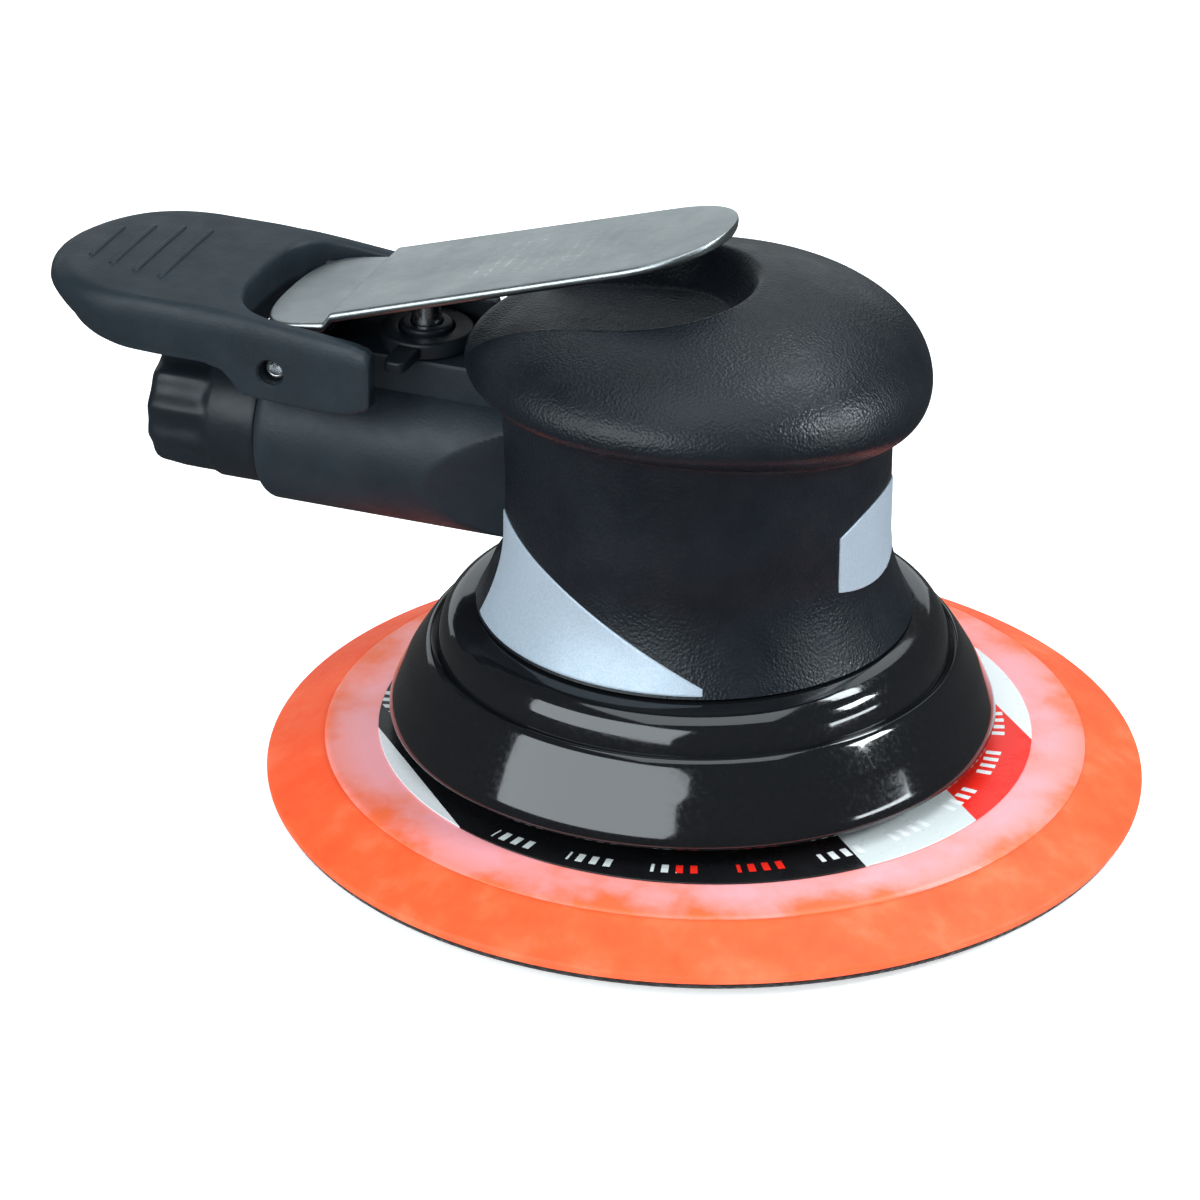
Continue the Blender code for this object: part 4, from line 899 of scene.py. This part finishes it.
def rest_grid():
    """The rest as closed sections carried round the fork, from one arm's end to the other.

    Each section runs up the slot wall, over a small round, across the crowned top, over a wide
    round, down the outside, under its lip, up inside the hollow, across its ceiling and back.
    """
    inner, outer = half_plans()
    mirror = np.array([1.0, -1.0])
    inner = np.vstack([inner, (inner * mirror)[-2::-1]])
    outer = np.vstack([outer, (outer * mirror)[-2::-1]])
    width = np.linalg.norm(outer - inner, axis=1)[:, None]
    heading = (outer - inner) / width
    in_r = np.minimum(1.0, 0.25 * width)
    out_r = np.minimum(4.2, 0.45 * width)
    wall = np.minimum(2.4, 0.3 * width)
    hollow = ease(width, 6.0, 12.0)
    low_in = eased_line(inner[:, :1], LOW_X, LOW_Z)
    low_out = eased_line(outer[:, :1], LOW_X, LOW_Z)
    ten = np.linspace(0.0, 1.0, 10)[None, :]
    a = np.linspace(0.0, math.pi / 2.0, 9)[None, :]

    def top_at(offset):
        spot = inner[:, None] + heading[:, None] * offset[..., None]
        return rest_top(spot[..., 0], spot[..., 1])

    start_top, end_top = top_at(in_r), top_at(width - out_r)
    drop = np.minimum(3.6, 0.55 * (end_top - low_out))
    lip = 0.7
    across = np.linspace(0.0, 1.0, 30)[None, :]
    offsets = []
    heights = []

    def run(offset, height):
        offsets.append(offset + 0.0 * height)
        heights.append(height + 0.0 * offset)

    run(0.0 * width, low_in + 0.5 + (start_top - in_r - low_in - 0.5) * ten)
    run(in_r * (1.0 - np.cos(a)), start_top - in_r * (1.0 - np.sin(a)))
    span = in_r + (width - out_r - in_r) * across[:, 1:-1]
    run(span, top_at(span))
    run(width - out_r * (1.0 - np.sin(a)), end_top - drop * (1.0 - np.cos(a)))
    tuck = 3.0 * hollow
    run(width - tuck * ten**1.5, end_top - drop + (low_out + lip - end_top + drop) * ten)
    run(width - tuck - lip * (1.0 - np.cos(a)) * 0.6, low_out + lip * (1.0 - np.sin(a)))
    ceiling = np.minimum(start_top, end_top) - 4.0
    roof_out = low_out + (ceiling - low_out) * hollow
    roof_in = low_in + (ceiling - low_in) * hollow
    run(width - tuck - wall - 0.3 * ten, low_out + (roof_out - low_out) * ten)
    span = wall + (width - tuck - 2.0 * wall) * (1.0 - across[:, 1:-1])
    run(span, roof_out + (roof_in - roof_out) * across[:, 1:-1])
    run(wall + 0.3 * (1.0 - ten), low_in + (roof_in - low_in) * (1.0 - ten))
    run(0.4 * (1.0 - ten[:, :4]) + 0.05, low_in + 0.25 * ten[:, :4])
    offset = np.concatenate(offsets, 1)
    height = np.concatenate(heights, 1)
    spot = inner[:, None] + heading[:, None] * offset[..., None]
    grid = np.concatenate([spot, height[..., None]], -1)
    # Each arm's end rounds over: its last section shrinks as a quarter circle and closes.
    centre = grid[:1].mean(1, keepdims=True)
    turn = np.linspace(0.0, math.pi / 2.0, 8)[:, None, None]
    shrink = 1.0 - 0.28 * (1.0 - np.cos(turn))
    cap = centre + (grid[:1] - centre) * shrink
    cap[..., 0] = grid[0, 0, 0] + 1.9 * np.sin(turn[..., 0])
    shut = np.broadcast_to(cap[-1:].mean(1, keepdims=True), cap[-1:].shape)
    cap = np.concatenate([cap[1:], shut])[::-1]
    far = cap[::-1] * np.array([1.0, -1.0, 1.0])
    return np.concatenate([cap, grid, far])


def top_rib(start, end, half=0.6, rise=0.4):
    """A low rib along a straight line on the rest: the top's height plus a half-sine across the rib."""
    share = np.linspace(0.0, 1.0, 30)[:, None]
    line = np.array(start) + (np.array(end) - np.array(start)) * share
    ahead = (np.array(end) - np.array(start)) / math.dist(start, end)
    side = np.array([-ahead[1], ahead[0]])
    bow = np.linspace(0.0, math.pi, 9)[None, :]
    taper = np.sqrt(np.clip(1.0 - (2.0 * share - 1.0) ** 20, 0.0, 1.0))
    reach = half * np.cos(bow) * taper
    spot = line[:, None] + side * reach[..., None]
    height = rest_top(spot[..., 0], spot[..., 1]) + rise * (np.sin(bow) * taper) - 0.02
    raised = np.concatenate([spot, height[..., None]], -1)
    under = raised[:, ::-1] - (0.0, 0.0, 0.5)
    return sheet_of(np.concatenate([raised, under], 1), False, True)


rest = finish_piece("wrist_saddle", [sheet_of(rest_grid(), False, True)], SLATE, "housing_body", ["wrist_rest"], 40.0)
hole_line = [(0.0, -24.0), (3.2, -24.0), (2.9, -20.6), (2.25, -19.9), (2.25, 19.9), (2.9, 20.6), (3.2, 24.0),
             (0.0, 24.0)]
bore_out(rest, [turned(hole_line, LEVER_AT, "Y", 0.05, 48)], 40.0)
RIBS = ((-109.5, 7.0), (-104.5, 9.5), (-99.5, 11.0), (-94.5, 11.5))
ribs = [top_rib((x, -half), (x, half)) for x, half in RIBS]
finish_piece("saddle_ribs", ribs, SLATE, "housing_body")

# ---------------------------------------------------------------- stage, light and camera

floor_mesh = bpy.data.meshes.new("studio_floor")
FLOOR_HALF = 6.0
FLOOR_Z = -0.0002
floor_ends = [(x * FLOOR_HALF, y * FLOOR_HALF, FLOOR_Z) for x, y in ((-1, -1), (1, -1), (1, 1), (-1, 1))]
floor_mesh.from_pydata(floor_ends, [], [(0, 1, 2, 3)])
floor_look = Finish("studio_white", (0.9, 0.9, 0.9), 0.9)
floor_look.set(Emission_Color=(1.0, 1.0, 1.0, 1.0), Emission_Strength=0.55)
floor_mesh.materials.append(floor_look.material)
studio_floor = bpy.data.objects.new("studio_floor", floor_mesh)
studio_floor.visible_glossy = False
bpy.context.scene.collection.objects.link(studio_floor)

AZIMUTH = math.radians(20.5)
HEIGHT = math.radians(26.9)
ROLL = math.radians(0.64)
RIGHT = Vector((math.cos(AZIMUTH), math.sin(AZIMUTH), 0.0))
LEVEL = Vector((-math.sin(AZIMUTH), math.cos(AZIMUTH), 0.0))
AHEAD = math.cos(HEIGHT) * LEVEL + Vector((0.0, 0.0, -math.sin(HEIGHT)))
ABOVE = math.sin(HEIGHT) * LEVEL + Vector((0.0, 0.0, math.cos(HEIGHT)))


def look_from(obj, place, side, up, ahead):
    """Sets an object's axes: X to the side, Y up, and Z away from where it looks."""
    turned_axes = Matrix((side, up, -ahead)).transposed().to_4x4()
    obj.matrix_world = Matrix.Translation(place) @ turned_axes


LIGHT_AWAY = 1.4
TARGET = Vector((0.0, 0.0, 0.05))


def softbox(name, azimuth, elevation, width, height, radiance):
    """A rectangular light at a bearing from +X and an elevation, facing the sander."""
    lamp = bpy.data.lights.new(name, "AREA")
    lamp.shape = "RECTANGLE"
    lamp.color = (0.88, 0.96, 1.0)
    lamp.size = width
    lamp.size_y = height
    lamp.energy = radiance * math.pi * width * height
    obj = bpy.data.objects.new(name, lamp)
    bpy.context.scene.collection.objects.link(obj)
    a, e = math.radians(azimuth), math.radians(elevation)
    out = Vector((math.cos(e) * math.cos(a), math.cos(e) * math.sin(a), math.sin(e)))
    side = Vector((-math.sin(a), math.cos(a), 0.0))
    up = out.cross(side)
    look_from(obj, TARGET + out * LIGHT_AWAY, side, up, -out)


softbox("left_box", -111.0, 25.0, 1.8, 0.95, 4.6)
softbox("right_box", 13.0, 31.0, 0.4, 0.26, 44.0)
softbox("low_right_box", 2.0, 5.0, 0.6, 0.13, 14.0)
softbox("far_right_box", 62.0, 55.0, 0.5, 0.2, 16.0)
softbox("top_box", -60.0, 80.0, 1.2, 1.2, 2.2)
softbox("back_box", 115.0, 45.0, 1.1, 0.6, 1.2)
softbox("rear_card", 122.0, 12.0, 1.8, 0.6, 0.8)

world = bpy.data.worlds.new("studio")
bpy.context.scene.world = world
world.use_nodes = True
sky = world.node_tree.nodes["Background"]
sky.inputs["Color"].default_value = (1.0, 1.0, 1.0, 1.0)
path = world.node_tree.nodes.new("ShaderNodeLightPath")
level = world.node_tree.nodes.new("ShaderNodeMapRange")
level.inputs["To Min"].default_value = 0.085
level.inputs["To Max"].default_value = 1.0
world.node_tree.links.new(path.outputs["Is Camera Ray"], level.inputs["Value"])
world.node_tree.links.new(level.outputs["Result"], sky.inputs["Strength"])

camera = bpy.data.cameras.new("camera")
camera.lens = 174.57
camera.sensor_width = 36.0
camera.clip_end = 50.0
view = bpy.data.objects.new("camera", camera)
bpy.context.scene.collection.objects.link(view)
centre = RIGHT * -0.0162 + Vector((0.0, 0.0, 0.0338))
look_from(view, centre - AHEAD, math.cos(ROLL) * RIGHT + math.sin(ROLL) * ABOVE,
          math.cos(ROLL) * ABOVE - math.sin(ROLL) * RIGHT, AHEAD)
bpy.context.scene.camera = view
bpy.context.scene.view_settings.view_transform = "Standard"
